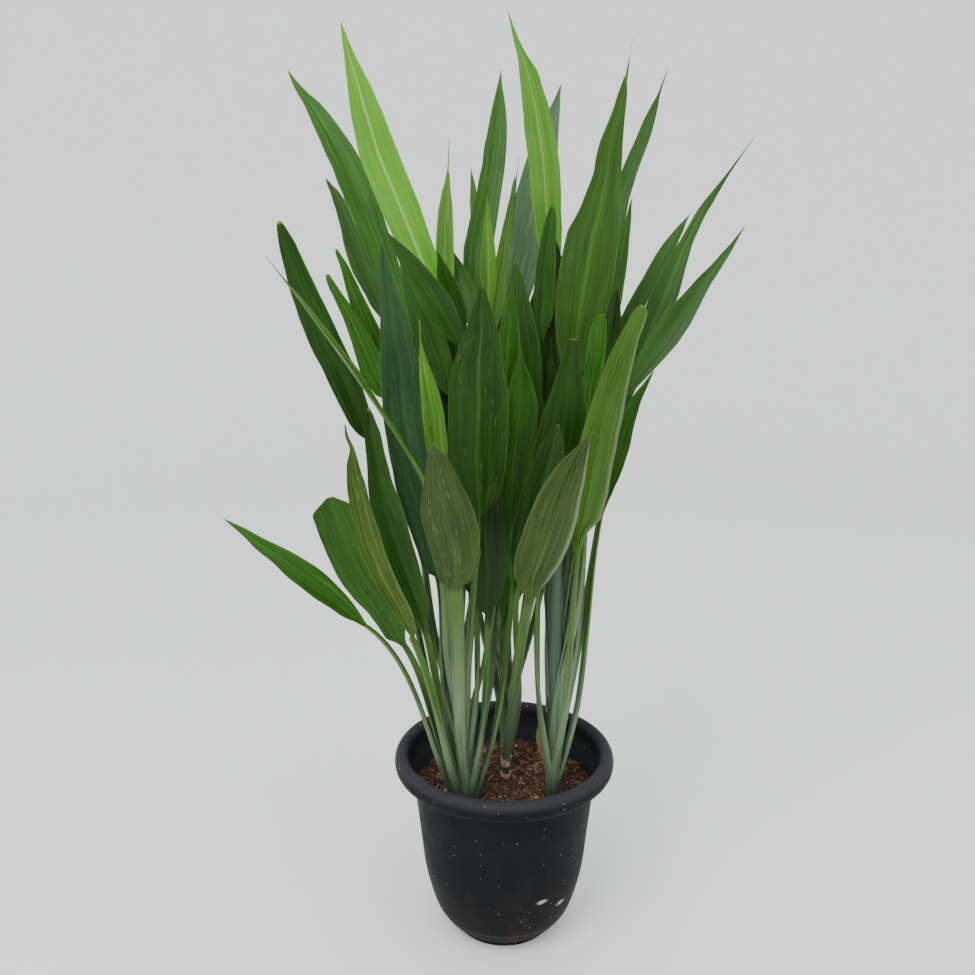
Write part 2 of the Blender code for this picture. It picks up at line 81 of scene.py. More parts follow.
# Degrees between faces above which an edge stays sharp
SHARP = 50.0
SHARP_CHIP = 25.0
SHARP_DRILL = 30.0
SHARP_POT = 35.0
SHARP_SOFT = 60.0            # leaves and the studio's floor

NOISE_SPAN = (0.3, 0.7)      # most values of a noise lie between these

# Short names for types; a value is a socket, a constant or a hex colour
Array = np.ndarray
Arrays = dict[str, np.ndarray]
Material = bpy.types.Material
Node = bpy.types.Node
Socket = bpy.types.NodeSocket
Key = int | str
Value = Socket | Sequence[float] | float | str
Pair = tuple[float, float]
Triple = tuple[float, float, float]


class Slot(Enum):
    """The record's material slots."""

    POT = "pot_plastic"
    SOIL = "soil"
    STEM = "stem_green"
    DARK = "leaf_dark"
    MID = "leaf_mid"
    LIGHT = "leaf_light"
    DRY = "dry_sheath"


class Tone(Enum):
    """The leaf colours that the plant shows."""

    DARK = "dark"
    BLUE = "blue"
    # a grey green that stands for the sky's sheen on a glossy leaf: painted sheen
    GREY_SHEEN = "grey"
    WARM = "warm"
    MID = "mid"
    OLIVE = "olive"
    LIGHT = "light"
    BRIGHT = "bright"


def srgb_to_linear(code: str) -> tuple[float, float, float, float]:
    """Turn an sRGB hex colour into linear red, green, blue and alpha.

    A share s of 255 becomes s / 12.92 up to 0.04045, and ((s + 0.055) / 1.055) ^ 2.4 above it.

    Args:
        code: six hexadecimal digits.

    Returns:
        The four linear values.
    """
    values = [int(code[i:i + 2], 16) / 255 for i in (0, 2, 4)]
    red, green, blue = (v / 12.92 if v <= 0.04045 else ((v + 0.055) / 1.055) ** 2.4 for v in values)
    return red, green, blue, 1.0


class Graph:
    """One material and its node tree, with a short call for each kind of node in use."""

    def __init__(self, name: str) -> None:
        """Start the material and find its Principled BSDF and its object coordinates.

        Args:
            name: the material's name.
        """
        self.material = bpy.data.materials.new(name)
        self.material.use_nodes = True
        self.tree = self.material.node_tree
        self.shader = self.tree.nodes["Principled BSDF"]
        self.place = self.add("ShaderNodeTexCoord").outputs["Object"]

    def set_input(self, node: Node, key: Key, value: Value) -> None:
        """Link a socket to a node's input, or set the input to a constant.

        Args:
            node: the node.
            key: the input's name or number.
            value: a socket, a constant or a hex colour.
        """
        if isinstance(value, Socket):
            self.tree.links.new(value, node.inputs[key])
        else:
            node.inputs[key].default_value = srgb_to_linear(value) if isinstance(value, str) else value

    def add(self, kind: str, inputs: dict[Key, Value] | None = None, **settings: str) -> Node:
        """Add a node.

        Args:
            kind: the node's type name.
            inputs: sockets, constants or hex colours, by the input's name or number.
            settings: the node's own properties.

        Returns:
            The new node.
        """
        node = self.tree.nodes.new(kind)
        for name, value in settings.items():
            setattr(node, name, value)
        for key, value in (inputs or {}).items():
            self.set_input(node, key, value)
        return node

    def math(self, operation: str, *values: Value) -> Socket:
        """Join one or two values by an operation."""
        return self.add("ShaderNodeMath", dict(enumerate(values)), operation=operation).outputs[0]

    def vector_math(self, operation: str, *values: Value) -> Node:
        """Join one or two vectors by an operation."""
        return self.add("ShaderNodeVectorMath", dict(enumerate(values)), operation=operation)

    def ramp(self, value: Value, span: Sequence[float], start: float = 0.0, end: float = 1.0,
             eased: bool = False) -> Socket:
        """Go from start to end while a value crosses a span, and stay level outside it.

        Args:
            value: the value that is read.
            span: the values at which the result is start and is end.
            start: the first result.
            end: the last result.
            eased: whether the way between them is rounded at both its ends.

        Returns:
            The result.
        """
        kind = "SMOOTHSTEP" if eased else "LINEAR"
        return self.add("ShaderNodeMapRange", {0: value, 1: span[0], 2: span[1], 3: start, 4: end},
                        interpolation_type=kind).outputs[0]

    def mix(self, share: Value, first: Value, second: Value) -> Socket:
        """Blend two colours by the second one's share, from 0 to 1."""
        return self.add("ShaderNodeMix", {0: share, 6: first, 7: second}, data_type="RGBA").outputs[2]

    def mark(self, name: str) -> Socket:
        """Read a number kept at the points."""
        return self.add("ShaderNodeAttribute", attribute_name=name).outputs["Fac"]

    def mark_parts(self, name: str) -> Sequence[Socket]:
        """Read three numbers kept at the points."""
        return self.parts(self.add("ShaderNodeAttribute", attribute_name=name).outputs["Vector"])

    def parts(self, vector: Value) -> Sequence[Socket]:
        """Take a vector's x, y and z apart."""
        return self.add("ShaderNodeSeparateXYZ", {0: vector}).outputs

    def noise(self, vector: Value, spacing: float, detail: float = 2.0) -> Socket:
        """Noise whose lumps lie a spacing apart, in the vector's unit, with finer ones on them."""
        return self.add("ShaderNodeTexNoise", {
            "Vector": vector, "Scale": 1 / spacing, "Detail": detail}).outputs[0]

    def lines(self, stretch: float, spacing_mm: float, detail: float = 2.0) -> Socket:
        """Noise that is drawn out along Z, where its scale is multiplied by stretch."""
        drawn = self.add("ShaderNodeMapping", {"Vector": self.place, "Scale": (1.0, 1.0, stretch)})
        return self.noise(drawn.outputs[0], spacing_mm * MM, detail)

    def bump(self, height: Value, strength: float, deep_mm: float) -> None:
        """Raise the shading by a height of 0 to 1 that stands for a depth."""
        node = self.add("ShaderNodeBump", {
            "Strength": strength, "Distance": deep_mm * MM, "Height": height})
        self.set_input(self.shader, "Normal", node.outputs[0])

    def finish(self, colour: Value, roughness: Value,
               constants: dict[Key, float] | None = None) -> Material:
        """Set the surface's colour, roughness and constants, and hand back the material."""
        for key, value in ({"Base Color": colour, "Roughness": roughness} | (constants or {})).items():
            self.set_input(self.shader, key, value)
        return self.material


def unit(vectors: Array) -> Array:
    """Bring vectors to length 1."""
    return vectors / np.maximum(np.linalg.norm(vectors, axis=-1, keepdims=True), TINY)


def level_vector(bearing: Array) -> Array:
    """Level unit vectors (cos, sin, 0) that point to bearings given in degrees."""
    angle = np.radians(bearing)
    return np.stack([np.cos(angle), np.sin(angle), np.zeros_like(angle)], axis=-1)


def smooth(value: Array) -> Array:
    """Ease 0 to 1 with level ends: 3 v squared minus 2 v cubed, clipped."""
    clipped = np.clip(value, 0.0, 1.0)
    return clipped * clipped * (3 - 2 * clipped)


def value_noise(x: Array, y: Array, spacing: float, draws: np.random.Generator) -> Array:
    """Smooth random heights from -1 to 1: seeded values on a square net, eased between them.

    Args:
        x: places along the first axis.
        y: places along the second axis.
        spacing: the net's spacing, in the unit of the places.
        draws: the seeded source of the net's values.

    Returns:
        One height for each place.
    """
    size = 64
    net = draws.uniform(-1, 1, (size, size))
    across, along = x / spacing, y / spacing
    i, j = np.floor(across).astype(int), np.floor(along).astype(int)
    u, v = smooth(across - i), smooth(along - j)
    corner = [net[(i + a) % size, (j + b) % size] for a, b in ((0, 0), (1, 0), (0, 1), (1, 1))]
    return (corner[0] * (1 - u) + corner[1] * u) * (1 - v) + (corner[2] * (1 - u) + corner[3] * u) * v


@dataclass
class Shape:
    """Points, faces and values kept at the points, on their way to a mesh."""

    points: Array
    quads: Array
    triangles: Array = field(default_factory=lambda: np.zeros((0, 3), int))
    marks: Arrays = field(default_factory=dict)

    def mesh(self, name: str, sharp_angle: float) -> bpy.types.Mesh:
        """Make the mesh, shaded smooth but for its sharp edges.

        Args:
            name: the mesh's name.
            sharp_angle: degrees between faces above which an edge stays sharp.

        Returns:
            The mesh, with a point attribute for each mark.
        """
        mesh = bpy.data.meshes.new(name)
        mesh.from_pydata(self.points.tolist(), [], self.quads.tolist() + self.triangles.tolist())
        for key, values in self.marks.items():
            kind, slot = ("FLOAT", "value") if values.ndim == 1 else ("FLOAT_VECTOR", "vector")
            mark = mesh.attributes.new(key, kind, "POINT")
            mark.data.foreach_set(slot, values.astype(np.float32).ravel())
        mesh.shade_smooth()
        mesh.set_sharp_from_angle(angle=math.radians(sharp_angle))
        return mesh


def grid_quads(rows: int, columns: int, closed: bool) -> Array:
    """Join a grid of points into quads.

    Args:
        rows: how many rows of points.
        columns: how many points in each row.
        closed: whether each row's last point joins its first.

    Returns:
        Four point numbers for each quad.
    """
    row = np.arange(rows - 1)[:, None] * columns
    here = np.arange(columns if closed else columns - 1)[None, :]
    after = (here + 1) % columns
    corners = (row + here, row + after, row + columns + after, row + columns + here)
    return np.stack(corners, axis=-1).reshape(-1, 4)


def round_angles(sides: int) -> Array:
    """Even angles for the points of a ring, in radians from 0."""
    return np.arange(sides) * 2 * math.pi / sides


def revolve(line: Array, sides: int) -> Array:
    """Turn a line of (radius, height) about Z: each point is (radius cos a, radius sin a, height).

    Args:
        line: one radius and height a row.
        sides: points round each ring.

    Returns:
        The points, by ring and side.
    """
    angle = round_angles(sides)
    return np.stack([line[:, :1] * np.cos(angle), line[:, :1] * np.sin(angle),
                     np.repeat(line[:, 1:], sides, axis=1)], axis=2)


def closed_rings(rings: Array, ends: Array) -> Shape:
    """Skin a stack of rings, and close both its ends with a fan of triangles.

    Args:
        rings: the points, by ring and side.
        ends: the first and the last fan's middle.

    Returns:
        The closed shape.
    """
    rows, sides = rings.shape[:2]
    count = rows * sides
    k = np.arange(sides)
    after = (k + 1) % sides
    low = np.stack([after, k, np.full(sides, count)], axis=1)
    high = np.stack([k + count - sides, after + count - sides, np.full(sides, count + 1)], axis=1)
    return Shape(np.concatenate([rings.reshape(-1, 3), ends]), grid_quads(rows, sides, closed=True),
                 np.concatenate([low, high]))


def tube_shape(centres: Array, radii: Array, sides: int) -> Shape:
    """Carry a circle along a line of centres: centre + radius (across cos a + rise sin a).

    Args:
        centres: the middle of each ring.
        radii: the radius of each ring.
        sides: points round each ring.

    Returns:
        The closed tube.
    """
    steep = 0.9
    way = unit(np.gradient(centres, axis=0))
    helper = np.where(np.abs(way[:, 2:]) > steep, [[1.0, 0.0, 0.0]], [[0.0, 0.0, 1.0]])
    across = unit(np.cross(helper, way))
    rise = np.cross(way, across)
    angle = round_angles(sides)[None, :, None]
    ring = across[:, None] * np.cos(angle) + rise[:, None] * np.sin(angle)
    return closed_rings(centres[:, None] + ring * radii[:, None, None], centres[[0, -1]])


def skin_quads(rows: int, columns: int) -> Array:
    """Quads round a flat skin of two layers, and over both of its ends.

    Args:
        rows: sections along the skin, each one layer and then the other, turned back.
        columns: points across each layer.

    Returns:
        Four point numbers for each quad.
    """
    around = grid_quads(rows, 2 * columns, closed=True)[:, ::-1]
    j = np.arange(columns - 1)
    start = np.stack([j, j + 1, 2 * columns - 2 - j, 2 * columns - 1 - j], axis=1)
    end = (start + (rows - 1) * 2 * columns)[:, ::-1]
    return np.concatenate([around, start, end])


def join_shapes(shapes: Sequence[Shape]) -> Shape:
    """Put several shapes without marks into one, with their point numbers moved on.

    Args:
        shapes: the shapes, in order.

    Returns:
        One shape of them all.
    """
    starts = np.cumsum([0] + [len(shape.points) for shape in shapes[:-1]])
    return Shape(np.concatenate([shape.points for shape in shapes]),
                 np.concatenate([shape.quads + start for shape, start in zip(shapes, starts)]),
                 np.concatenate([shape.triangles + start for shape, start in zip(shapes, starts)]))


def place_piece(name: str, shape: Shape, material: Material,
                nodes: Sequence[str] = (), sharp_angle: float = SHARP) -> bpy.types.Object:
    """Make a shape an object that rides on the root body.

    Args:
        name: the piece's name.
        shape: its points and faces, in the frame's own place.
        material: its finish.
        nodes: the frame's nodes that it stands for.
        sharp_angle: degrees between faces above which an edge stays sharp.

    Returns:
        The new object.
    """
    piece = bpy.data.objects.new(name, shape.mesh(name, sharp_angle))
    piece.data.materials.append(material)
    bpy.context.scene.collection.objects.link(piece)
    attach(piece, "root")
    if nodes:
        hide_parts(*nodes)
    LOG.info("%s: %d points, %d faces", name, len(shape.points), len(piece.data.polygons))
    return piece


@dataclass(frozen=True)
class BladeForm:
    """Outline of a blade: where it is widest, and how full its base and its point are."""

    widest: float
    base_power: float
    tip_power: float
    tip_exponent: float

    def share(self, along: Array) -> Array:
        """Width at places along the blade, of the greatest.

        Up to the widest place it is 1 - (1 - along / widest) ^ base power. From there it is
        (1 - beyond ^ tip power) ^ tip exponent, where beyond runs from 0 to 1 at the tip.

        Args:
            along: places from 0 at the neck to 1 at the tip.

        Returns:
            The width there, from 0 to 1.
        """
        filled = 1 - (1 - np.minimum(along / self.widest, 1)) ** self.base_power
        beyond = np.clip((along - self.widest) / (1 - self.widest), 0, 1)
        return filled * (1 - beyond ** self.tip_power) ** self.tip_exponent


BROAD = BladeForm(0.36, 2.6, 1.8, 1.0)
LANCE = BladeForm(0.42, 2.4, 1.6, 1.1)
STRAP = BladeForm(0.50, 2.2, 1.8, 1.0)
PADDLE = BladeForm(0.28, 2.6, 1.5, 1.3)
OVAL = BladeForm(0.40, 3.6, 2.0, 1.0)
TAIL = BladeForm(0.30, 2.4, 1.3, 1.6)


@dataclass(frozen=True)
class ShootLine:
    """A shoot's foot on the soil, its lean for each cm of height, and (height, radius) pairs."""

    foot: Pair
    lean: Pair
    radii: tuple[Pair, ...]
    lowest_sheath: float

    def axis(self, height: Array) -> Array:
        """The middle of the shoot at heights in cm above the soil, in metres."""
        level = np.asarray(height, float)
        return np.stack([self.foot[0] + self.lean[0] * level, self.foot[1] + self.lean[1] * level,
                         SOIL_TOP / CM + level], axis=-1) * CM

    def radius(self, height: Array) -> Array:
        """The shoot's radius there, in metres."""
        heights, radii = zip(*self.radii)
        return np.interp(height, heights, radii) * CM


SHOOTS = {
    "left": ShootLine((-4.4, -4.5), (-0.03, -0.04),
                      ((0, 1.20), (6, 1.10), (14, 0.90), (20, 0.75), (26, 0.40)), -1.0),
    "middle": ShootLine((0.2, 0.7), (0.01, 0.0),
                        ((0, 0.42), (5, 0.45), (8, 0.75), (14, 0.70), (22, 0.30)), 2.6),
    "right": ShootLine((5.6, -3.8), (0.0, 0.01),
                       ((0, 0.68), (8, 0.80), (16, 1.00), (24, 1.00), (32, 0.40)), -1.0),
}


@dataclass(frozen=True)
class LeafPlan:
    """One leaf's place on the frame, and what sets its looks apart.

    root is the height on the shoot and turn the bearing there. face is the bearing that the
    blade's upper side looks to. bow lifts the blade's middle and sway moves it sideways. fold
    raises both halves from the rib, and cut is the share left of a leaf whose tip was trimmed.
    wave is how far the margins ripple and pleat how deep the lengthwise folds are, both in mm.
    dry is how much of the tip has yellowed, flecks how marked the surface is, rib how pale the
    midrib and shade how light the blade, against its tone: partly the leaf's own lightness, partly
    painted shade on leaves deep in the crown and painted sheen on glossy ones. stalk is the
    petiole's width at its root and its neck, in mm, and bloom how far up it the foot's grey reaches.
    folded is how pale a turned-up margin is, below 0 for the first side's. edges, where the
    photograph shows them, are (share of the blade's length, one edge, other edge), in mm to the
    sides of the middle line.
    """

    shoot: str
    root: float
    turn: float
    neck: Triple
    tip: Triple
    width: float
    face: float
    form: BladeForm
    tone: Tone
    bow: float = 0.0
    sway: float = 0.0
    fold: float = 14.0
    cut: float = 1.0
    wave: float = 1.0
    pleat: float = 0.35
    dry: float = 0.2
    flecks: float = 0.15
    rib: float = 0.12
    shade: float = 1.0
    stalk: Pair = (ROOT_WIDTH / MM, NECK_WIDTH / MM)
    bloom: float = 0.0
    folded: float = 0.0
    edges: tuple[Triple, ...] = ()


# Each leaf's shade is partly its own lightness and partly painted shade or sheen, for where it sits in the
# crown
LEAVES = (
    LeafPlan("left", 0.8, -165, (-14.1, -11.0, 41.5), (-27.2, -15.0, 54.1), 4.0, -5, LANCE, Tone.DARK,
             shade=1.3, bow=-0.1, fold=20, dry=0.8, stalk=(7.0, 4.4)),
    LeafPlan("left", 2.5, 175, (-10.8, -7.0, 37.9), (-17.8, -9.0, 54.9), 4.8, -80, BROAD, Tone.DARK,
             bow=-0.6, cut=0.72, stalk=(11.0, 6.5), edges=(
        (0, -2.4, 2.4), (0.05, -6, 6), (0.1, -12, 12), (0.2, -13, 16), (0.3, -15, 18), (0.4, -20, 20),
        (0.5, -24, 20), (0.6, -25, 20), (0.8, -26, 20), (0.94, -25, 16), (1, -5, 1))),
    LeafPlan("left", 1.5, -125, (-9.5, -12.0, 40.8), (-14.7, -17.0, 63.5), 3.2, -50, PADDLE, Tone.OLIVE,
             shade=1.15, bow=-1.0, fold=25, wave=1.8, pleat=0.4, flecks=0.5, stalk=(12.0, 6.5), edges=(
        (0, 0, 9), (0.1, -6, 12), (0.2, -9, 11), (0.3, -13, 10), (0.4, -16, 9), (0.5, -19, 8),
        (0.6, -18, 8), (0.7, -16, 8), (0.75, -14, 7), (0.8, -11, 6), (0.85, -8, 6), (0.9, 0, 5),
        (0.95, -3, 1), (1, -1, 0))),
    LeafPlan("left", 4.5, -145, (-8.6, -8.0, 40.4), (-13.5, -11.0, 64.2), 4.4, -60, OVAL, Tone.DARK,
             shade=0.75, bow=-0.5, fold=32, pleat=0.5, dry=0.7, stalk=(14.0, 7.5), edges=(
        (0, -4, 6), (0.04, -6, 9), (0.1, -12, 14), (0.3, -20, 15.6), (0.5, -25, 14.7), (0.6, -25.5, 13),
        (0.7, -21.5, 9.5), (0.8, -15.5, 9), (0.9, -12, 8), (0.96, -5, 5), (1, -2, 2.5))),
    LeafPlan("left", 10.0, -160, (-7.3, -6.0, 45.4), (-12.1, -9.0, 80.3), 5.0, -80, OVAL, Tone.BLUE,
             bow=-0.5, sway=0.6, edges=(
        (0, -5, 4), (0.04, -13, 10), (0.1, -14.5, 18), (0.2, -18, 23), (0.3, -22, 24), (0.5, -22, 24),
        (0.65, -16, 25), (0.8, -9, 17), (0.9, -4.7, 8), (1, -0.3, 0.3))),
    LeafPlan("left", 5.0, -95, (-5.1, -13.0, 46.6), (-6.4, -21.0, 62.4), 5.5, 85, OVAL, Tone.OLIVE,
             shade=0.7, bow=0.4, flecks=1.0, bloom=0.2, stalk=(12.0, 18.5), edges=(
        (0, -13, 13.5), (0.05, -20, 15.6), (0.1, -25.6, 17), (0.2, -29.7, 19.4), (0.3, -30.6, 22),
        (0.4, -30.6, 24), (0.5, -29, 24), (0.6, -25, 21), (0.7, -20, 16.5), (0.8, -15.5, 12),
        (0.9, -11, 7.6), (0.95, -5, 4), (1, -0.3, 0.3))),
    LeafPlan("left", 5.5, 170, (-14.7, -3.0, 59.8), (-22.9, -5.0, 82.4), 3.6, -75, BROAD, Tone.MID,
             shade=0.62, bow=-0.3, dry=0.9, edges=(
        (0, -2, 2), (0.05, -9, 10), (0.1, -12, 14), (0.3, -14, 19), (0.5, -17, 16), (0.7, -15, 13),
        (0.9, -9, 8), (0.98, -4, 4), (1, -1.5, 1.5))),
    LeafPlan("left", 13.0, -125, (-9.1, -12.0, 59.3), (-21.8, -15.0, 78.6), 3.0, 5, LANCE, Tone.LIGHT,
             shade=0.55, bow=0.2, fold=14),
    LeafPlan("left", 8.0, 180, (-12.1, -2.5, 63.9), (-18.6, -3.0, 77.2), 3.0, -75, LANCE, Tone.MID,
             shade=1.3, edges=(
        (0, -2, 2), (0.1, -14, 10), (0.3, -17, 12), (0.5, -11, 10), (0.7, -6, 8), (0.9, -5, 4),
        (0.98, -3, 2.5), (1, -1.5, 1.5))),
    LeafPlan("left", 12.0, 155, (-12.5, 0.0, 64.4), (-18.1, 0.0, 79.9), 3.0, -75, LANCE, Tone.MID,
             shade=1.3, dry=0.6, edges=(
        (0, -2, 2), (0.2, -12, 13), (0.4, -12, 14), (0.6, -9, 11), (0.8, -4.5, 7), (0.9, -3, 5),
        (0.98, -2.5, 2), (1, -1, 1))),
    LeafPlan("left", 10.0, -75, (-2.6, -10.0, 53.0), (-2.1, -16.0, 76.0), 6.0, -90, BROAD, Tone.MID,
             shade=0.6, bow=0.2, sway=-0.4, flecks=0.5, rib=0.25, edges=(
        (0, -2, 2), (0.05, -12, 9), (0.1, -22, 16), (0.2, -32, 22), (0.3, -36, 24), (0.5, -36, 23.5),
        (0.6, -34.5, 21), (0.7, -29.5, 17.5), (0.8, -20, 14), (0.9, -12, 8.5), (1, -0.5, 0.5))),
    LeafPlan("left", 16.0, -115, (-6.0, -8.0, 54.9), (-8.3, -11.0, 72.8), 2.6, -90, BROAD, Tone.LIGHT,
             shade=0.9, flecks=0.7, rib=0.3, edges=(
        (0, -2, 2), (0.1, -9, 7), (0.3, -13.5, 9), (0.5, -11.5, 10.5), (0.6, -10, 9), (0.7, -8.5, 5),
        (0.8, -6.2, 0.8), (0.88, -3.2, -1.8), (1, -0.5, 0.5))),
    LeafPlan("left", 20.0, -140, (-4.4, -5.0, 69.6), (-11.3, -12.0, 81.0), 3.3, -110, LANCE, Tone.DARK,
             bow=0.6),
    LeafPlan("left", 18.0, 165, (-5.7, -3.0, 64.2), (-11.0, -4.0, 79.1), 3.2, -80, LANCE, Tone.DARK),
    LeafPlan("left", 13.0, 120, (-10.5, 3.0, 69.1), (-24.0, 7.0, 99.2), 3.8, -75, STRAP, Tone.DARK,
             shade=1.25, bow=1.9, wave=1.6, edges=(
        (0, -2, 2), (0.1, -14, 8), (0.25, -19, 11), (0.4, -21, 13), (0.5, -20.5, 16), (0.6, -18, 17),
        (0.7, -15, 15.5), (0.8, -11.5, 12), (0.86, -8.5, 8.5), (0.9, -6.7, 4), (0.95, -5, 1.2),
        (1, -0.6, 0.4))),
    LeafPlan("left", 19.0, 90, (-5.8, -1.0, 72.0), (-16.7, -1.0, 101.9), 4.1, -85, STRAP, Tone.BRIGHT,
             shade=0.9, bow=-0.7, rib=0.45, edges=(
        (0, -2, 2), (0.1, -12, 12), (0.25, -18, 16.6), (0.4, -21, 18.7), (0.5, -22.5, 18),
        (0.6, -23.7, 16.6), (0.7, -19, 15), (0.8, -12.7, 11), (0.9, -6, 5), (0.95, -3, 2.7),
        (1, -0.4, 0.4))),
    LeafPlan("left", 7.0, 115, (-12.9, 8.0, 70.5), (-21.8, 15.0, 88.9), 3.0, -60, LANCE, Tone.DARK,
             shade=0.85, edges=(
        (0, -2, 2), (0.2, -16, 14), (0.4, -20, 16), (0.5, -18.5, 16), (0.6, -15, 15), (0.7, -10, 13),
        (0.8, -5, 11), (0.9, -3.2, 8.5), (0.95, -2.6, 4), (1, -0.5, 0.5))),
    LeafPlan("left", 22.0, 20, (-4.3, -4.0, 71.1), (-6.9, -6.0, 79.5), 2.6, -110, LANCE, Tone.MID),
    LeafPlan("left", 3.0, -45, (-1.9, -7.3, 41.5), (-2.2, -8.3, 60.5), 4.2, -80, OVAL, Tone.DARK,
             shade=0.4),
    LeafPlan("left", 8.0, -50, (-3.1, -6.3, 42.8), (-4.2, -6.8, 60.5), 3.5, -100, OVAL, Tone.BLUE,
             shade=0.65),
    LeafPlan("left", 1.5, -5, (0.8, -5.0, 44.7), (1.4, -9.5, 69.5), 4.8, -85, BROAD, Tone.MID, shade=1.15,
             edges=(
        (0, -2, 2), (0.1, -16, 12), (0.3, -24, 17), (0.5, -24, 18), (0.7, -20, 20), (0.8, -16, 20),
        (0.9, -9, 12), (1, -0.5, 0.5))),
    LeafPlan("left", 5.5, 20, (-0.6, -4.0, 56.8), (0.6, -9.5, 76.6), 3.6, -80, LANCE, Tone.MID, shade=1.2,
             pleat=0.4),

    LeafPlan("middle", 4.5, -78, (2.6, -12.0, 45.3), (7.6, -21.0, 63.5), 5.0, 100, OVAL, Tone.OLIVE,
             shade=0.75, bow=0.3, sway=0.4, pleat=0.9, flecks=0.4, folded=-0.8, stalk=(12.0, 11.0),
             edges=(
        (0, -4, 8), (0.04, -10, 12), (0.1, -17, 20.5), (0.2, -24, 24), (0.3, -26, 24.5), (0.4, -26, 24),
        (0.5, -24, 23), (0.6, -20.5, 22), (0.7, -16.5, 19), (0.8, -11, 15), (0.9, -5, 7),
        (0.95, -1.5, 3.5), (1, -0.3, 0.3))),
    LeafPlan("middle", 9.5, -95, (-0.1, -3.0, 39.2), (2.7, -4.0, 53.5), 3.0, -90, LANCE, Tone.MID),
    LeafPlan("middle", 5.5, -35, (1.6, -9.5, 46.5), (5.0, -13.5, 63.0), 4.2, -90, OVAL, Tone.DARK,
             shade=0.5, cut=0.92),
    LeafPlan("middle", 13.0, -43, (2.7, -1.5, 56.3), (0.9, -6.0, 78.5), 4.4, -80, LANCE, Tone.DARK,
             shade=0.7, edges=(
        (0, -2, 2), (0.1, -12, 12), (0.3, -21, 19), (0.5, -22, 20), (0.6, -21, 19), (0.7, -19, 16.5),
        (0.8, -15, 13), (0.9, -9, 8), (1, -0.5, 0.5))),
    LeafPlan("middle", 6.0, 113, (-3.3, 9.0, 71.1), (-0.7, 17.0, 101.4), 3.5, -85, LANCE, Tone.DARK,
             shade=1.2, pleat=0.4, edges=(
        (0, -4, 4), (0.1, -18, 6), (0.2, -24, 8), (0.3, -26, 9), (0.4, -22.5, 10.8), (0.5, -17.5, 13),
        (0.6, -14, 14.7), (0.7, -12, 15), (0.8, -8.7, 12.6), (0.9, -4.5, 6.6), (0.95, -2.4, 2.4),
        (1, -0.3, 0.3))),
    LeafPlan("middle", 17.0, -135, (-1.8, 0.0, 72.5), (-2.0, -1.0, 85.4), 1.8, -90, LANCE, Tone.LIGHT,
             shade=0.75, rib=0.35),
    LeafPlan("middle", 13.0, 112, (-1.8, 6.0, 70.1), (1.0, 10.0, 88.6), 2.8, -90, LANCE, Tone.LIGHT,
             shade=0.6, edges=(
        (0, -2, 2), (0.2, -12, 12), (0.4, -8.5, 9), (0.6, -6.5, 6), (0.8, -4, 3.5), (0.9, -2, 2.5),
        (1, -0.3, 0.3))),
    # this leaf's grey tone is a painted reflection of the sky on its glossy skin
    LeafPlan("middle", 9.0, 92, (-0.1, 11.0, 69.2), (6.6, 19.0, 100.2), 4.6, -90, LANCE, Tone.GREY_SHEEN,
             shade=1.2, flecks=0.0, pleat=0.5, edges=(
        (0, -2, 2), (0.15, -18, 16), (0.3, -26, 22), (0.45, -28, 24), (0.6, -25.5, 21), (0.7, -22.5, 16),
        (0.8, -15, 10.5), (0.9, -8, 5.5), (0.95, -4, 2.6), (1, -0.3, 0.3))),
    LeafPlan("middle", 10.0, 144, (-6.9, 6.0, 71.8), (-6.6, 12.0, 93.1), 2.2, -90, TAIL, Tone.LIGHT,
             rib=0.3, edges=(
        (0, -2, 2), (0.15, -12, 9), (0.3, -13.5, 9), (0.4, -13.5, 8), (0.5, -12.7, 7), (0.6, -12, 5.6),
        (0.7, -8.3, 2.8), (0.78, -4, 1.5), (0.82, -1.8, -0.3), (0.9, -1.6, -0.6), (1, -0.5, 0.1))),
    LeafPlan("middle", 15.0, 160, (-3.4, 5.0, 71.2), (-6.3, 11.0, 80.3), 2.8, -90, LANCE, Tone.DARK),
    LeafPlan("middle", 3.2, 103, (-2.9, 14.0, 74.5), (-4.5, 21.0, 91.0), 2.2, -60, LANCE, Tone.LIGHT,
             shade=0.7),

    LeafPlan("right", 5.0, -125, (3.8, -7.5, 46.7), (6.5, -11.0, 71.0), 5.4, -90, BROAD, Tone.MID,
             shade=0.65, cut=0.85, edges=(
        (0, -2, 2), (0.1, -16, 16), (0.3, -25, 25), (0.5, -26, 27), (0.7, -20.5, 25), (0.8, -14, 18),
        (0.9, -10, 11), (0.97, -6.5, 6.8), (1, -3, 3))),
    LeafPlan("right", 6.0, -65, (7.3, -11.0, 48.8), (12.0, -17.5, 74.2), 4.2, 80, OVAL, Tone.LIGHT,
             shade=0.48, bow=0.5, sway=0.6, cut=0.90, pleat=0.8, folded=-1.0, edges=(
        (0, -2.4, 2.4), (0.1, -4, 10), (0.14, -10, 14), (0.18, -18, 17), (0.3, -20.4, 18),
        (0.45, -18, 18), (0.6, -16, 17.5), (0.7, -12.7, 15), (0.8, -10, 13), (0.9, -7.9, 9),
        (0.98, -7.5, 5.6), (1, -2, 1))),
    LeafPlan("right", 17.0, -24, (8.7, -5.0, 61.3), (9.7, -7.0, 73.2), 2.8, -90, OVAL, Tone.MID,
             shade=1.3, cut=0.85, edges=(
        (0, -2, 2), (0.2, -10, 3), (0.4, -12.5, 5), (0.6, -12.5, 7.4), (0.8, -12, 7), (0.9, -10.5, 5.5),
        (0.97, -7, 4), (1, -3, 1))),
    LeafPlan("right", 4.0, 9, (10.4, -3.0, 51.1), (15.1, -6.0, 67.5), 3.0, -130, OVAL, Tone.DARK, bow=0.6,
             edges=(
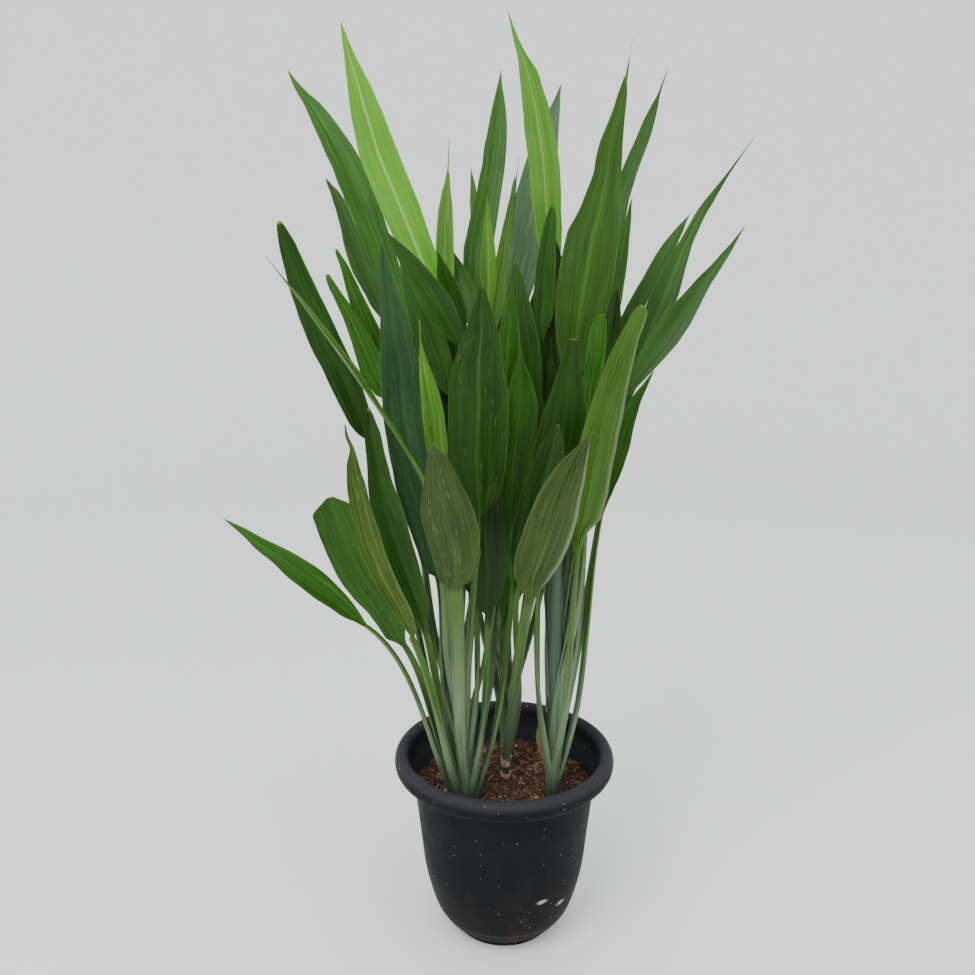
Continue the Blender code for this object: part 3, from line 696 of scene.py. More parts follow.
        (0, -2, 2), (0.13, -9, 5), (0.2, -12, 9), (0.3, -14, 12), (0.4, -15, 13), (0.5, -15, 12.4),
        (0.6, -14, 10), (0.7, -12, 6.5), (0.8, -9, 3), (0.9, -4, 2), (1, -0.5, 0.5))),
    LeafPlan("right", 11.0, 15, (11.7, -1.0, 63.1), (25.3, 1.0, 82.2), 3.2, -110, LANCE, Tone.DARK,
             shade=0.9, edges=(
        (0, -2, 2), (0.1, -6, 7), (0.2, -10, 10.5), (0.3, -13, 13.8), (0.4, -15, 16), (0.5, -15.6, 15.2),
        (0.6, -11, 11.5), (0.7, -8, 7.4), (0.8, -4.6, 5.6), (0.9, -2, 3.5), (0.96, -1.2, 1.2),
        (1, -0.3, 0.3))),
    LeafPlan("right", 7.0, 44, (13.5, 4.0, 62.3), (27.8, 9.0, 92.4), 3.2, -110, TAIL, Tone.DARK, bow=1.5,
             edges=(
        (0, -2, 2), (0.15, -14, 12), (0.3, -17, 15), (0.42, -16, 14.5), (0.5, -14, 8.6),
        (0.6, -12.4, 2.5), (0.7, -11.5, 0.3), (0.8, -6.4, 0), (0.87, -3, -0.4), (0.92, -1.4, -0.3),
        (1, -0.5, 0.2))),
    LeafPlan("right", 13.0, 65, (11.1, 8.0, 66.5), (22.2, 15.0, 84.6), 3.2, -120, LANCE, Tone.DARK,
             edges=(
        (0, -2, 2), (0.15, -9, 8), (0.3, -10.5, 10), (0.5, -11.5, 9.5), (0.7, -12, 7.6), (0.8, -10, 5.6),
        (0.9, -6.5, 3), (0.96, -3, 0.5), (1, -1, -0.3))),
    LeafPlan("right", 20.0, 0, (7.2, -2.0, 66.9), (11.2, -8.0, 95.1), 6.4, -95, PADDLE, Tone.WARM,
             shade=0.75, wave=1.6, pleat=0.5, rib=0.3, edges=(
        (0, -12, 10), (0.05, -17, 13), (0.1, -22, 17), (0.2, -29.8, 22), (0.3, -33, 24),
        (0.4, -32.8, 23.8), (0.5, -31.5, 21.5), (0.6, -21, 17), (0.7, -15.6, 12.5), (0.75, -15.9, 10.7),
        (0.8, -14, 8.2), (0.9, -6.8, 4.9), (0.95, -4.9, 3.6), (1, -2.2, 0.4))),
    LeafPlan("right", 16.0, 62, (10.8, 6.0, 70.1), (18.5, 13.0, 100.5), 2.9, -100, LANCE, Tone.DARK,
             shade=0.8, bow=1.4, edges=(
        (0, -2, 2), (0.06, -9, 12), (0.1, -12, 13), (0.2, -16, 11), (0.3, -18, 7), (0.4, -18, 4.8),
        (0.5, -17, 3.8), (0.6, -13.5, 4.6), (0.7, -9, 6.8), (0.75, -7.5, 7.4), (0.8, -6, 6.4),
        (0.85, -3.6, 4.6), (0.9, -0.9, 2), (0.95, -0.7, 0.9), (1, -0.3, 0.3))),
    LeafPlan("right", 21.0, 60, (10.6, 3.0, 67.5), (14.0, 6.0, 86.0), 2.0, -90, LANCE, Tone.MID),
    LeafPlan("right", 19.0, 85, (9.1, 6.5, 71.2), (14.5, 14.0, 104.1), 2.4, -80, TAIL, Tone.DARK),
    LeafPlan("right", 23.0, 110, (5.4, 4.0, 71.3), (0.1, 6.0, 104.8), 3.9, -85, STRAP, Tone.BRIGHT,
             shade=0.64, bow=1.6, rib=0.4, edges=(
        (0, -2, 2), (0.1, -9, 3), (0.2, -14, 7), (0.3, -18, 11), (0.4, -19.6, 13.2), (0.5, -19, 16.2),
        (0.6, -16.8, 16.8), (0.7, -13.6, 15.5), (0.8, -8.3, 12.3), (0.86, -4.5, 5.5), (0.9, -3.4, 2.3),
        (0.95, -2.3, 0.8), (1, -0.4, 0.4))),
    LeafPlan("right", 25.0, 130, (3.8, 1.5, 69.7), (4.8, 0.0, 84.3), 3.6, -75, LANCE, Tone.DARK, fold=25,
             edges=(
        (0, -2, 2), (0.2, -13, 10), (0.4, -16, 12), (0.6, -15, 9), (0.8, -10, 6.5), (0.9, -7.4, 6),
        (0.97, -4.4, 3.5), (1, -1, 1))),
)

# Leaves of which only dark slivers show between the others; their places are guessed, and
# most are darkened by a low shade: painted shade, for the crown's shadow on them
INNER_LEAVES = (
    LeafPlan("left", 15.0, 60, (-4.8, -1.5, 57.5), (-8.2, -0.5, 78.0), 4.6, -85, OVAL, Tone.DARK,
             shade=0.5),
    LeafPlan("left", 9.0, 100, (-9.6, 3.0, 62.0), (-13.4, 4.0, 79.5), 3.4, -85, OVAL, Tone.DARK,
             shade=0.6),
    LeafPlan("left", 12.0, -30, (-1.2, -4.5, 50.0), (-3.8, -5.5, 68.0), 4.6, -85, OVAL, Tone.DARK,
             shade=0.45),
    LeafPlan("middle", 12.0, 20, (5.8, 1.5, 60.5), (5.0, 2.0, 82.0), 4.6, -90, OVAL, Tone.DARK,
             shade=0.5),
    LeafPlan("middle", 11.0, 60, (3.6, 1.0, 59.0), (3.2, 2.5, 76.0), 4.2, -90, OVAL, Tone.DARK,
             shade=0.5),
    LeafPlan("right", 12.0, 110, (6.6, -1.0, 56.0), (8.2, 0.5, 76.0), 4.4, -95, OVAL, Tone.DARK,
             shade=0.5),
    LeafPlan("right", 9.0, 30, (9.4, -2.0, 58.0), (11.8, -1.0, 76.0), 3.6, -100, OVAL, Tone.DARK,
             shade=0.6),
    LeafPlan("right", 10.0, 50, (12.5, 7.5, 62.0), (21.1, 10.0, 78.6), 2.4, -100, LANCE, Tone.DARK,
             shade=1.4, dry=0.9),
    LeafPlan("middle", 8.0, 100, (0.0, 10.0, 80.3), (1.5, 13.0, 91.0), 0.7, -90, TAIL, Tone.DARK,
             shade=0.6),
)


# Where each mark on a leaf starts to show and where it shows in full
# base darkens every leaf towards the soil, below the crown: painted shade
LEAF_SPANS = {
    "band": (0.42, 0.66), "vein": (0.50, 0.80), "furrow_shade": (0.50, 0.32), "patch": (0.35, 0.75),
    "rib": (0.13, 0.0), "margin": (0.965, 0.995), "under": (0.6, 0.4), "stalk": (0.0, 0.10),
    "foot": (0.30, 0.90), "base": (0.224, 0.182), "fleck": (0.60, 0.70), "cluster": (0.45, 0.62)}

# How much of what lies under it each mark covers; the rest is set by the finish or the leaf
LEAF_SHARES = {
    "under": 0.6, "patch": 0.3, "vein": 0.3, "margin": 0.4, "turned": 0.75, "stalk": 0.9,
    "foot": 0.85, "furrow_shade": 0.45, "base": 0.85}


@dataclass(frozen=True)
class LeafFinish:
    """A living leaf: waxy skin over green tissue, with veins that run its whole length.

    The skin gives a satin sheen, the veins give fine pale lines and broad soft bands, and the
    stalk pales to a grey green bloom at its foot. Low on the plant every leaf is darkened towards
    the soil, a painted shade under the crown.
    """

    blade: str
    band: str
    vein: str
    rib: str
    under: str
    roughness: float = 0.45
    band_share: float = 0.55
    stalk: str = "46652c"
    foot: str = "687a60"
    margin: str = "7f9648"
    dried: str = "a08a48"
    fleck: str = "8fa268"
    # The stalk's furrows take a dark colour: painted shade between its ridges
    furrow_shade: str = "263c1c"
    turned: str = "8c9c78"
    # base is painted shade: the dark colour that leaves take low on the plant, near the soil
    base: str = "1c3424"
    specular: float = 0.24
    band_mm: float = 4.5
    vein_mm: float = 1.1
    run_mm: float = 90.0
    patch_mm: float = 45.0
    fleck_mm: float = 1.1
    fleck_run_mm: float = 16.0
    fleck_share: float = 0.7
    cluster_mm: float = 11.0
    cluster_run_mm: float = 35.0
    vein_height_mm: float = 0.12
    vein_bump: float = 0.6
    smoother: float = 0.06       # the bands' roughness, below and above the leaf's
    rougher: float = 0.08
    skin_ior: float = 1.42

    def grain(self, graph: Graph, spot: Sequence[Value], sizes: Sequence[float],
              detail: float = 2.0) -> Socket:
        """Noise drawn out along the leaf: it is read at (across / width, along / run, number).

        Args:
            graph: the material's nodes.
            spot: mm across, mm along and the leaf's number.
            sizes: the width and the run of the noise's lumps, in mm.
            detail: how many finer noises lie on it.

        Returns:
            The noise.
        """
        wide, run = (graph.math("MULTIPLY", part, 1 / size) for part, size in zip(spot, sizes))
        place = graph.add("ShaderNodeCombineXYZ", {0: wide, 1: run, 2: spot[2]}).outputs[0]
        return graph.noise(place, 1.0, detail)

    def build(self, name: str) -> Material:
        """Make the material.

        The marks of each point are read as: leaf_place = (across from -1 to 1, mm along the
        leaf, stalk from 0 at the neck to 1 at the root and 2 at the sheath's foot), leaf_grain =
        (mm across at the widest place, 1 on the upper side, a number for each leaf), leaf_wear =
        (dried, flecked, how pale the midrib is), and leaf_shade scales the blade's colour: partly the
        leaf's own lightness, partly painted shade on leaves deep in the crown and painted sheen
        on glossy ones.

        Args:
            name: the material's name.

        Returns:
            The material.
        """
        graph = Graph(name)
        across, along, stalk = graph.mark_parts("leaf_place")
        width, upper, number = graph.mark_parts("leaf_grain")
        dried, flecked, ribbed = graph.mark_parts("leaf_wear")
        spot = (width, along, number)
        bands = self.grain(graph, spot, (self.band_mm, self.run_mm), detail=1.0)
        veins = self.grain(graph, spot, (self.vein_mm, self.run_mm))
        distance = graph.math("ABSOLUTE", across)
        sources = {
            "band": bands, "vein": veins, "furrow_shade": bands, "rib": distance, "margin": distance,
            # the base mark reads the height: painted shade low on the plant
            "under": upper, "stalk": stalk, "foot": stalk, "base": graph.parts(graph.place)[2],
            "patch": graph.noise(graph.place, self.patch_mm * MM),
            "fleck": self.grain(graph, spot, (self.fleck_mm, self.fleck_run_mm)),
            "cluster": self.grain(graph, spot, (self.cluster_mm, self.cluster_run_mm))}
        shown = {key: graph.ramp(source, LEAF_SPANS[key], eased=True) for key, source in sources.items()}
        # the stalk's furrows are darkened: painted shade
        shown["furrow_shade"] = graph.math("MULTIPLY", shown["furrow_shade"], shown["stalk"])
        both = graph.math("MULTIPLY", shown["fleck"], shown["cluster"])
        shown["fleck"] = graph.math("MULTIPLY", both, self.fleck_share)
        shown["turned"] = graph.mark("leaf_turned")
        shares = LEAF_SHARES | {"band": self.band_share, "rib": ribbed, "fleck": flecked}
        colour = self.blade
        for key, code in (("under", self.under), ("band", self.band), ("patch", self.band),
                          ("vein", self.vein), ("rib", self.rib), ("margin", self.margin),
                          ("fleck", self.fleck), ("turned", self.turned), ("stalk", self.stalk),
                          ("foot", self.foot), ("furrow_shade", self.furrow_shade), ("base", self.base)):
            # leaf_shade scales the blade: partly its own lightness, partly painted shade or sheen
            if key == "stalk":
                colour = graph.add("ShaderNodeVectorMath", {
                    0: colour, "Scale": graph.mark("leaf_shade")}, operation="SCALE").outputs[0]
            colour = graph.mix(graph.math("MULTIPLY", shown[key], shares[key]), colour, code)
        graph.bump(veins, self.vein_bump, self.vein_height_mm)
        rough = graph.ramp(bands, NOISE_SPAN, self.roughness - self.smoother, self.roughness + self.rougher)
        return graph.finish(graph.mix(dried, colour, self.dried), rough,
                            {"IOR": self.skin_ior, "Specular IOR Level": self.specular})


LEAF_FINISHES = {
    Tone.DARK: LeafFinish("23470f", "33601a", "5a8034", "5a8034", "33501a"),
    Tone.BLUE: LeafFinish("1c3a1a", "2a5228", "4f7448", "3f6438", "2f4a24", roughness=0.42),
    # the grey tone paints the sky's sheen on a glossy leaf into its colour: a painted reflection
    Tone.GREY_SHEEN: LeafFinish("304a2c", "45633c", "8aa384", "5f7a55", "3f5a35", roughness=0.42),
    Tone.WARM: LeafFinish("2c5010", "3d681a", "668a38", "668a38", "3a5a1e"),
    Tone.MID: LeafFinish("1e420a", "2f5a15", "547a30", "6a9038", "30491a", specular=0.16),
    Tone.OLIVE: LeafFinish("283f0e", "46601f", "76884a", "6f8a3c", "30460f"),
    Tone.LIGHT: LeafFinish("3f7018", "5c9028", "8ab050", "8ab050", "4f7820", band_share=0.7),
    Tone.BRIGHT: LeafFinish("4c8c1c", "68a430", "98c45c", "b0d478", "5c9028"),
}


@dataclass
class Leaf:
    """One leaf as a single closed skin: sheath, channelled petiole and pleated blade."""

    plan: LeafPlan
    number: int
    columns: int = 21
    sheath_rows: int = 12
    petiole_rows: int = 22
    blade_rows: int = 84
    blade_crowds: float = 0.55   # how far the blade's sections draw towards its ends
    sheath_length: float = 12.0  # cm down the shoot from the root
    sheath_least: float = 0.5    # cm of it that every leaf has
    sheath_sink: float = 3.0     # cm over which the sheath settles on to the shoot
    sheath_wrap: float = 1.5     # how far round the shoot it reaches, in shoot radii
    sheath_rounds: float = 2.0   # cm below the root over which its section rounds
    sheath_thins: float = 0.55
    sheath_bury: float = 0.0006
    root_reach: int = 6          # sections to each side of the root that are eased
    root_rounds: int = 8         # how often
    stalk_thick: Pair = (0.0066, 0.0046)  # the petiole's, at its root and neck
    stalk_edge: float = 0.25     # share of its thickness that a stalk keeps at its edges
    blade_edge: float = 0.4      # the same for the blade
    channel: float = 0.0009      # depth of the groove along the petiole's upper side
    channel_fades: float = 0.3   # share of the sheath over which the groove ends
    stalk_spread: float = 1.5    # the stalk's ridges are this much closer than the blade's bands
    turned_from: float = 0.80    # across the blade, where a turned-up margin begins
    turned_over: float = 0.08
    rib_width: float = 0.0016
    rib_above: float = -0.25     # the rib's rise on the upper side, of that on the under side
    pleat_spacing: float = 0.0075
    pleat_ends: Pair = (0.10, 0.25)  # shares where the pleats come and go
    margin_turns: float = 3.2    # ripples along one margin
    turns_spread: Pair = (0.5, 1.6)  # of the ripples of its three sines, against that number
    wave_shares: tuple[float, ...] = (0.5, 0.3, 0.2)  # of the three sines in a ripple
    wave_ends: Pair = (0.15, 0.20)
    wave_past: float = 0.02      # share beyond the tip where the ripple would be gone
    wave_power: float = 2.5      # how close to the margin the ripple stays
    round_fold: float = 0.10     # share of the half width over which the fold is rounded
    edge_marks: int = 301        # places along the blade where measured edges are eased
    edge_window: int = 12        # of those places, that one mean covers
    opening: float = 0.022       # share of the blade over which it opens from the petiole
    neck_holds: float = 0.06     # share of a formed blade over which its neck's width ends
    sheath_widens: float = 6.0   # cm below the root over which the sheath widens
    neck_power: float = 1.8      # how late the petiole takes its neck's width
    waver: float = 0.0005
    waver_length: float = 0.018
    waver_ends: Pair = (0.10, 0.08)
    even_columns: float = 0.65   # share of evenness in the blade's columns, that bunch outwards
    mark_start: float = 0.1      # share of a stalk or blade over which a mark comes in
    grain_step: float = 3.7      # between one leaf's noise and the next one's
    dry_tip: Pair = (0.985, 0.012)  # where it starts, and over what share
    dry_cut: Pair = (0.996, 0.004)
    dry_cut_share: float = 0.5

    def __post_init__(self) -> None:
        """Start the leaf's own seeded draws."""
        self.draws = np.random.default_rng(self.number)
        self.line = SHOOTS[self.plan.shoot]

    def rows(self) -> Arrays:
        """Middle line and frame of every section, from the sheath's foot to the tip.

        The sheath runs down the shoot at the root's bearing. The petiole is a cubic between two
        ends with known directions. The blade is a parabola through a middle point that bow and
        sway move off the straight line from neck to tip. The sections near the root are eased,
        each to (before + 2 itself + after) / 4.

        Returns:
            points, facing (bearings), stalk and blade for each section; heights for the sheath's
            sections, along for the petiole's and steps for the blade's.
        """
        plan, line = self.plan, self.line
        outward = level_vector(np.float64(plan.turn))
        foot = max(line.lowest_sheath, plan.root - self.sheath_length)
        foot = min(foot, plan.root - self.sheath_least)
        heights = np.linspace(foot, plan.root, self.sheath_rows + 1)[:-1]
        settle = np.exp(-(plan.root - heights) / self.sheath_sink)
        offset = (ROOT_THICK / 2 + GAP) * settle - self.sheath_bury * (1 - settle)
        sheath = line.axis(heights) + outward * (line.radius(heights) + offset)[:, None]
        root = line.axis(plan.root) + outward * (line.radius(plan.root) + ROOT_THICK / 2 + GAP)
        neck, tip = np.array(plan.neck) * CM, np.array(plan.tip) * CM
        chord = unit(tip - neck)
        lifted = unit(UP - chord[2] * chord)
        across = np.cross(chord, lifted)
        middle = (neck + tip) / 2 + 2 * CM * (plan.bow * lifted + plan.sway * across)
        pull = PETIOLE_PULL * np.linalg.norm(neck - root)
        leave = pull * unit(unit(np.array([*line.lean, 1.0])) + PETIOLE_SPREAD * outward)
        arrive = pull * unit(middle - neck)
        along = np.linspace(0, 1, self.petiole_rows + 1)[:-1]
        u = along[:, None]
        petiole = ((2 * u**3 - 3 * u**2 + 1) * root + (u**3 - 2 * u**2 + u) * leave
                   + (3 * u**2 - 2 * u**3) * neck + (u**3 - u**2) * arrive)
        even = np.linspace(0, 1, self.blade_rows)
        steps = (1 - self.blade_crowds) * even + self.blade_crowds * smooth(even)
        s = steps[:, None]
        blade = (1 - s)**2 * neck + 2 * s * (1 - s) * middle + s**2 * tip
        swing = (plan.face - plan.turn) % 360 - 180
        facing = np.concatenate([np.full(len(heights), plan.turn + 180.0),
                                 plan.turn + 180 + swing * smooth(along),
                                 np.full(len(steps), float(plan.face))])
        points = np.concatenate([sheath, petiole, blade])
        near_root = np.abs(np.arange(len(points)) - self.sheath_rows) < self.root_reach
        for _ in range(self.root_rounds):
            eased = (points[:-2] + 2 * points[1:-1] + points[2:]) / 4
            points[1:-1] = np.where(near_root[1:-1, None], eased, points[1:-1])
        down = (heights - plan.root) / (plan.root - foot)
        return {"points": points, "facing": facing, "heights": heights, "steps": steps, "along": along,
                "stalk": np.concatenate([1 - down, 1 - along, np.zeros(len(steps))]),
                "blade": np.concatenate([np.zeros(len(heights) + len(along)), steps])}

    def blade_edges(self, steps: Array, neck_half: float) -> list[Array]:
        """Both edges of the blade, before they waver.

        A measured blade's edges run straight between its marks and are then eased by a short
        moving mean. Any other blade is as wide to both sides, by its form.

        Args:
            steps: places of the sections along the blade.
            neck_half: half the petiole's width at its neck.

        Returns:
            How far the two edges are to the right of the middle line, in metres.
        """
        plan = self.plan
        if plan.edges:
            fine = np.linspace(0, 1, self.edge_marks)
            marks = np.array(plan.edges)
            window = np.hanning(self.edge_window + 2)[1:-1]
            opened = smooth(steps / self.opening)
            sides = []
            for column, sign in ((1, -1), (2, 1)):
                path = np.pad(np.interp(fine, marks[:, 0], marks[:, column]) * MM,
                              self.edge_window // 2, mode="edge")
                eased = np.convolve(path, window / window.sum(), mode="valid")
                sides.append(sign * neck_half * (1 - opened)
                             + np.interp(steps, fine, eased[:self.edge_marks]) * opened)
            return sides
        width = plan.width * CM * plan.form.share(steps * plan.cut)
        if plan.cut < 1:
            last = plan.width * CM * plan.form.share(np.array([CUT_START * plan.cut, plan.cut]))
            slant = np.clip((steps - CUT_START) / (1 - CUT_START), 0, 1)
            roof = last[0] + (CUT_END * last[1] - last[0]) * slant
            width = np.where(steps > CUT_START, roof, width)
        neck = 2 * neck_half * np.clip(1 - steps / self.neck_holds, 0, 1)
        half = np.maximum(np.maximum(width, neck), END_WIDTH) / 2
        return [-half, half]

    def edges(self, rows: Arrays) -> tuple[Array, Array]:
        """How far both edges are from the middle line at every section, in metres.

        The sheath is as wide as the root and, lower down, as its wrap of the shoot. The petiole
        goes from its root's width to its neck's. The blade's edges waver slightly.

        Args:
            rows: the sections, as rows() gives them.

        Returns:
            The left edges and the right edges, above 0 to the right of the middle line.
        """
        root_half, neck_half = (width * MM / 2 for width in self.plan.stalk)
        steps = rows["steps"]
        below = self.plan.root - rows["heights"]
        sheath = (root_half + self.sheath_wrap * self.line.radius(rows["heights"])
                  * (1 - np.exp(-below / self.sheath_widens)))
        petiole = root_half + (neck_half - root_half) * rows["along"]**self.neck_power
        sides = self.blade_edges(steps, neck_half)
        start, end = self.waver_ends
        fade = smooth(steps / start) * smooth((1 - steps) / end)
        length = np.linalg.norm(np.array(self.plan.tip) - np.array(self.plan.neck)) * CM
        for column in (0, 1):
            waver = value_noise(steps * length, np.full(len(fade), column * CM),
                                self.waver_length, self.draws)
            sides[column] = sides[column] + waver * self.waver * fade
        sides[1] = np.maximum(sides[1], sides[0] + END_WIDTH)
        stalk = np.concatenate([sheath, petiole])
        return np.concatenate([-stalk, sides[0]]), np.concatenate([stalk, sides[1]])

    def ripple(self, steps: Array) -> Array:
        """A margin's rise and fall along the blade: three sines of seeded turns and phases.

        Args:
            steps: places of the sections along the blade.

        Returns:
            The rise there, from -1 to 1.
        """
        sines = len(self.wave_shares)
        turns = self.margin_turns * self.draws.uniform(*self.turns_spread, sines)
        phases = self.draws.uniform(0, 2 * math.pi, sines)
        waves = np.sin(2 * math.pi * steps[:, None] * turns + phases)
        start, end = self.wave_ends
        fade = smooth(steps / start) * smooth((1 + self.wave_past - steps) / end)
        return waves @ np.array(self.wave_shares) * fade

    def shape(self) -> Shape:
        """The closed skin, as a ring of points for each section.

        With c from -1 to 1 across and h the half width, the middle surface of sheath and petiole
        is the arc (sin(t c), 1 - cos(t c)) h / t. The blade's is (c cos f, v(c) sin f) h for the
        fold f, where v(c) is c's size, rounded at the rib. Pleats and margin ripples raise it,
        and a half thickness with the rib's bell added is laid off on both sides.

        Returns:
            The leaf's shape, with the marks that its finish reads.
        """
        plan = self.plan
        rows = self.rows()
        points, steps, blade = rows["points"], rows["steps"], rows["blade"]
        left, right = self.edges(rows)
        half = (right - left) / 2
        middle = (right + left)[:, None] / 2
        way = unit(np.gradient(points, axis=0))
        side = unit(np.cross(way, level_vector(rows["facing"])))
        upper = np.cross(side, way)
        in_blade = smooth(blade / NECK_BLEND)[:, None]
        count = len(points)
        even = np.linspace(-1, 1, self.columns)
        bunched = np.sin(even * math.pi / 2)
        spread = (1 - self.even_columns) * bunched + self.even_columns * even
        c = bunched * (1 - in_blade) + spread * in_blade
        h = half[:, None]
        petiole_arc = math.radians(2 * PETIOLE_FOLD)
        sheath_arc = half[:self.sheath_rows] / self.line.radius(rows["heights"])
        settle = smooth((plan.root - rows["heights"]) / self.sheath_rounds)
        arc = np.full(count, petiole_arc)
        arc[:self.sheath_rows] = petiole_arc + (sheath_arc - petiole_arc) * settle
        t = arc[:, None]
        fold = np.radians(plan.fold)
        rounded = (np.sqrt(c**2 + self.round_fold**2) - self.round_fold) / (
            math.sqrt(1 + self.round_fold**2) - self.round_fold)
        x = h * (np.sin(t * c) / t * (1 - in_blade) + c * math.cos(fold) * in_blade) + middle
        z = h * ((1 - np.cos(t * c)) / t * (1 - in_blade) + rounded * math.sin(fold) * in_blade)
        greatest = plan.width * CM / 2
        phase = self.draws.uniform(0, 2 * math.pi)
        start, end = self.pleat_ends
        fade = (1 - c**4) * smooth(blade / start)[:, None] * smooth((1 - blade) / end)[:, None]
        z = z + plan.pleat * MM * np.cos(
            2 * math.pi * np.abs(c) * greatest / self.pleat_spacing + phase) * fade
        for sign in (-1, 1):
            wave = np.zeros(count)
            wave[-len(steps):] = self.ripple(steps)
            z = z + plan.wave * MM * wave[:, None] * np.clip(sign * c, 0, 1)**self.wave_power
        above, below = self.halves(rows, c, h, settle)
        top = points[:, None] + side[:, None] * x[..., None] + upper[:, None] * (z + above)[..., None]
        under = points[:, None] + side[:, None] * x[..., None] + upper[:, None] * (z - below)[..., None]
        ring = np.concatenate([top, under[:, ::-1]], axis=1)
        return Shape(ring.reshape(-1, 3), skin_quads(count, self.columns),
                     marks=self.marks(rows, c, greatest, half))

    def halves(self, rows: Arrays, c: Array, h: Array,
               settle: Array) -> tuple[Array, Array]:
        """How thick the skin is above and below its middle surface.

        Both are half the thickness, rounded to the edges by the root of 1 - c^2. In the blade
        the rib is added as a bell exp(-(c h / rib width)^2), and the stalk's upper side loses the
        groove cos(c pi / 2)^2.

        Args:
            rows: the sections, as rows() gives them.
            c: places across each section, from -1 to 1.
            h: the half width of each section, as a column.
            settle: how far each of the sheath's sections lies on the shoot, from 0 to 1.

        Returns:
            The half above and the half below, in metres.
        """
        blade = rows["blade"]
        in_blade = smooth(blade / NECK_BLEND)[:, None]
        round_edge = np.sqrt(np.clip(1 - c**2, 0, 1))
        bell = np.exp(-(c * h / self.rib_width)**2)
        root_thick, neck_thick = self.stalk_thick
        thick = np.concatenate([np.full(self.sheath_rows, root_thick),
                                root_thick + (neck_thick - root_thick) * rows["along"],
                                neck_thick + (RIB_THICK - neck_thick) * smooth(rows["steps"] / NECK_BLEND)])
        thick = (thick * (1 - RIB_THINS * blade))[:, None]
        kept = np.ones((len(blade), 1))
        kept[:self.sheath_rows, 0] = 1 - self.sheath_thins * settle
        stalk_half = thick / 2 * kept * (self.stalk_edge + (1 - self.stalk_edge) * round_edge)
        edge_half = EDGE_THICK / 2 * (self.blade_edge + (1 - self.blade_edge) * round_edge)
        rib_half = np.maximum(thick / 2 - EDGE_THICK / 2, 0) * bell
        below = stalk_half * (1 - in_blade) + (edge_half + rib_half) * in_blade
        groove = self.channel * np.cos(c * math.pi / 2)**2 * (1 - in_blade) * (
            1 - smooth((rows["stalk"] - 1) / self.channel_fades))[:, None]
        above = stalk_half * (1 - in_blade) + (edge_half + self.rib_above * rib_half) * in_blade - groove
        return above, below

    def marks(self, rows: Arrays, c: Array, greatest: float,
              half: Array) -> Arrays:
        """Values at the points that the leaf's finish reads.

        Args:
            rows: the sections, as rows() gives them.
            c: places across each section, from -1 to 1.
            greatest: the blade's greatest half width.
            half: the half width of each section.

        Returns:
            The values by the name of the mark.
        """
        plan, blade = self.plan, rows["blade"]
        lengths = np.linalg.norm(np.diff(rows["points"], axis=0), axis=1)
        along = np.concatenate([[0.0], np.cumsum(lengths)]) / MM
        across = np.concatenate([c, c[:, ::-1]], axis=1)
        full = np.ones_like(across)
        is_top = np.concatenate([np.ones(self.columns), np.zeros(self.columns)])[None, :] * full
        stalk = rows["stalk"] + plan.bloom * smooth(rows["stalk"] / self.mark_start)
        place = np.stack([across, along[:, None] * full, stalk[:, None] * full], axis=-1)
        in_blade = smooth(blade / NECK_BLEND)
        spread = (self.stalk_spread * half * (1 - in_blade) + greatest * in_blade) / MM
        grain = np.stack([across * spread[:, None], is_top, self.number * full * self.grain_step], axis=-1)
        (start, over), share = ((self.dry_cut, self.dry_cut_share) if plan.cut < 1
                                else (self.dry_tip, plan.dry))
        tip = smooth((blade - start) / over) * share
        wear = np.stack([tip[:, None] * full, plan.flecks * full, plan.rib * full], axis=-1)
        found = {key: value.reshape(-1, 3) for key, value in
                 (("leaf_place", place), ("leaf_grain", grain), ("leaf_wear", wear))}
        turned = smooth((across * np.sign(plan.folded) - self.turned_from) / self.turned_over)
        turned = turned * smooth(blade / self.mark_start)[:, None] * abs(plan.folded)
        return found | {"leaf_shade": plan.shade * full.ravel(), "leaf_turned": turned.ravel()}


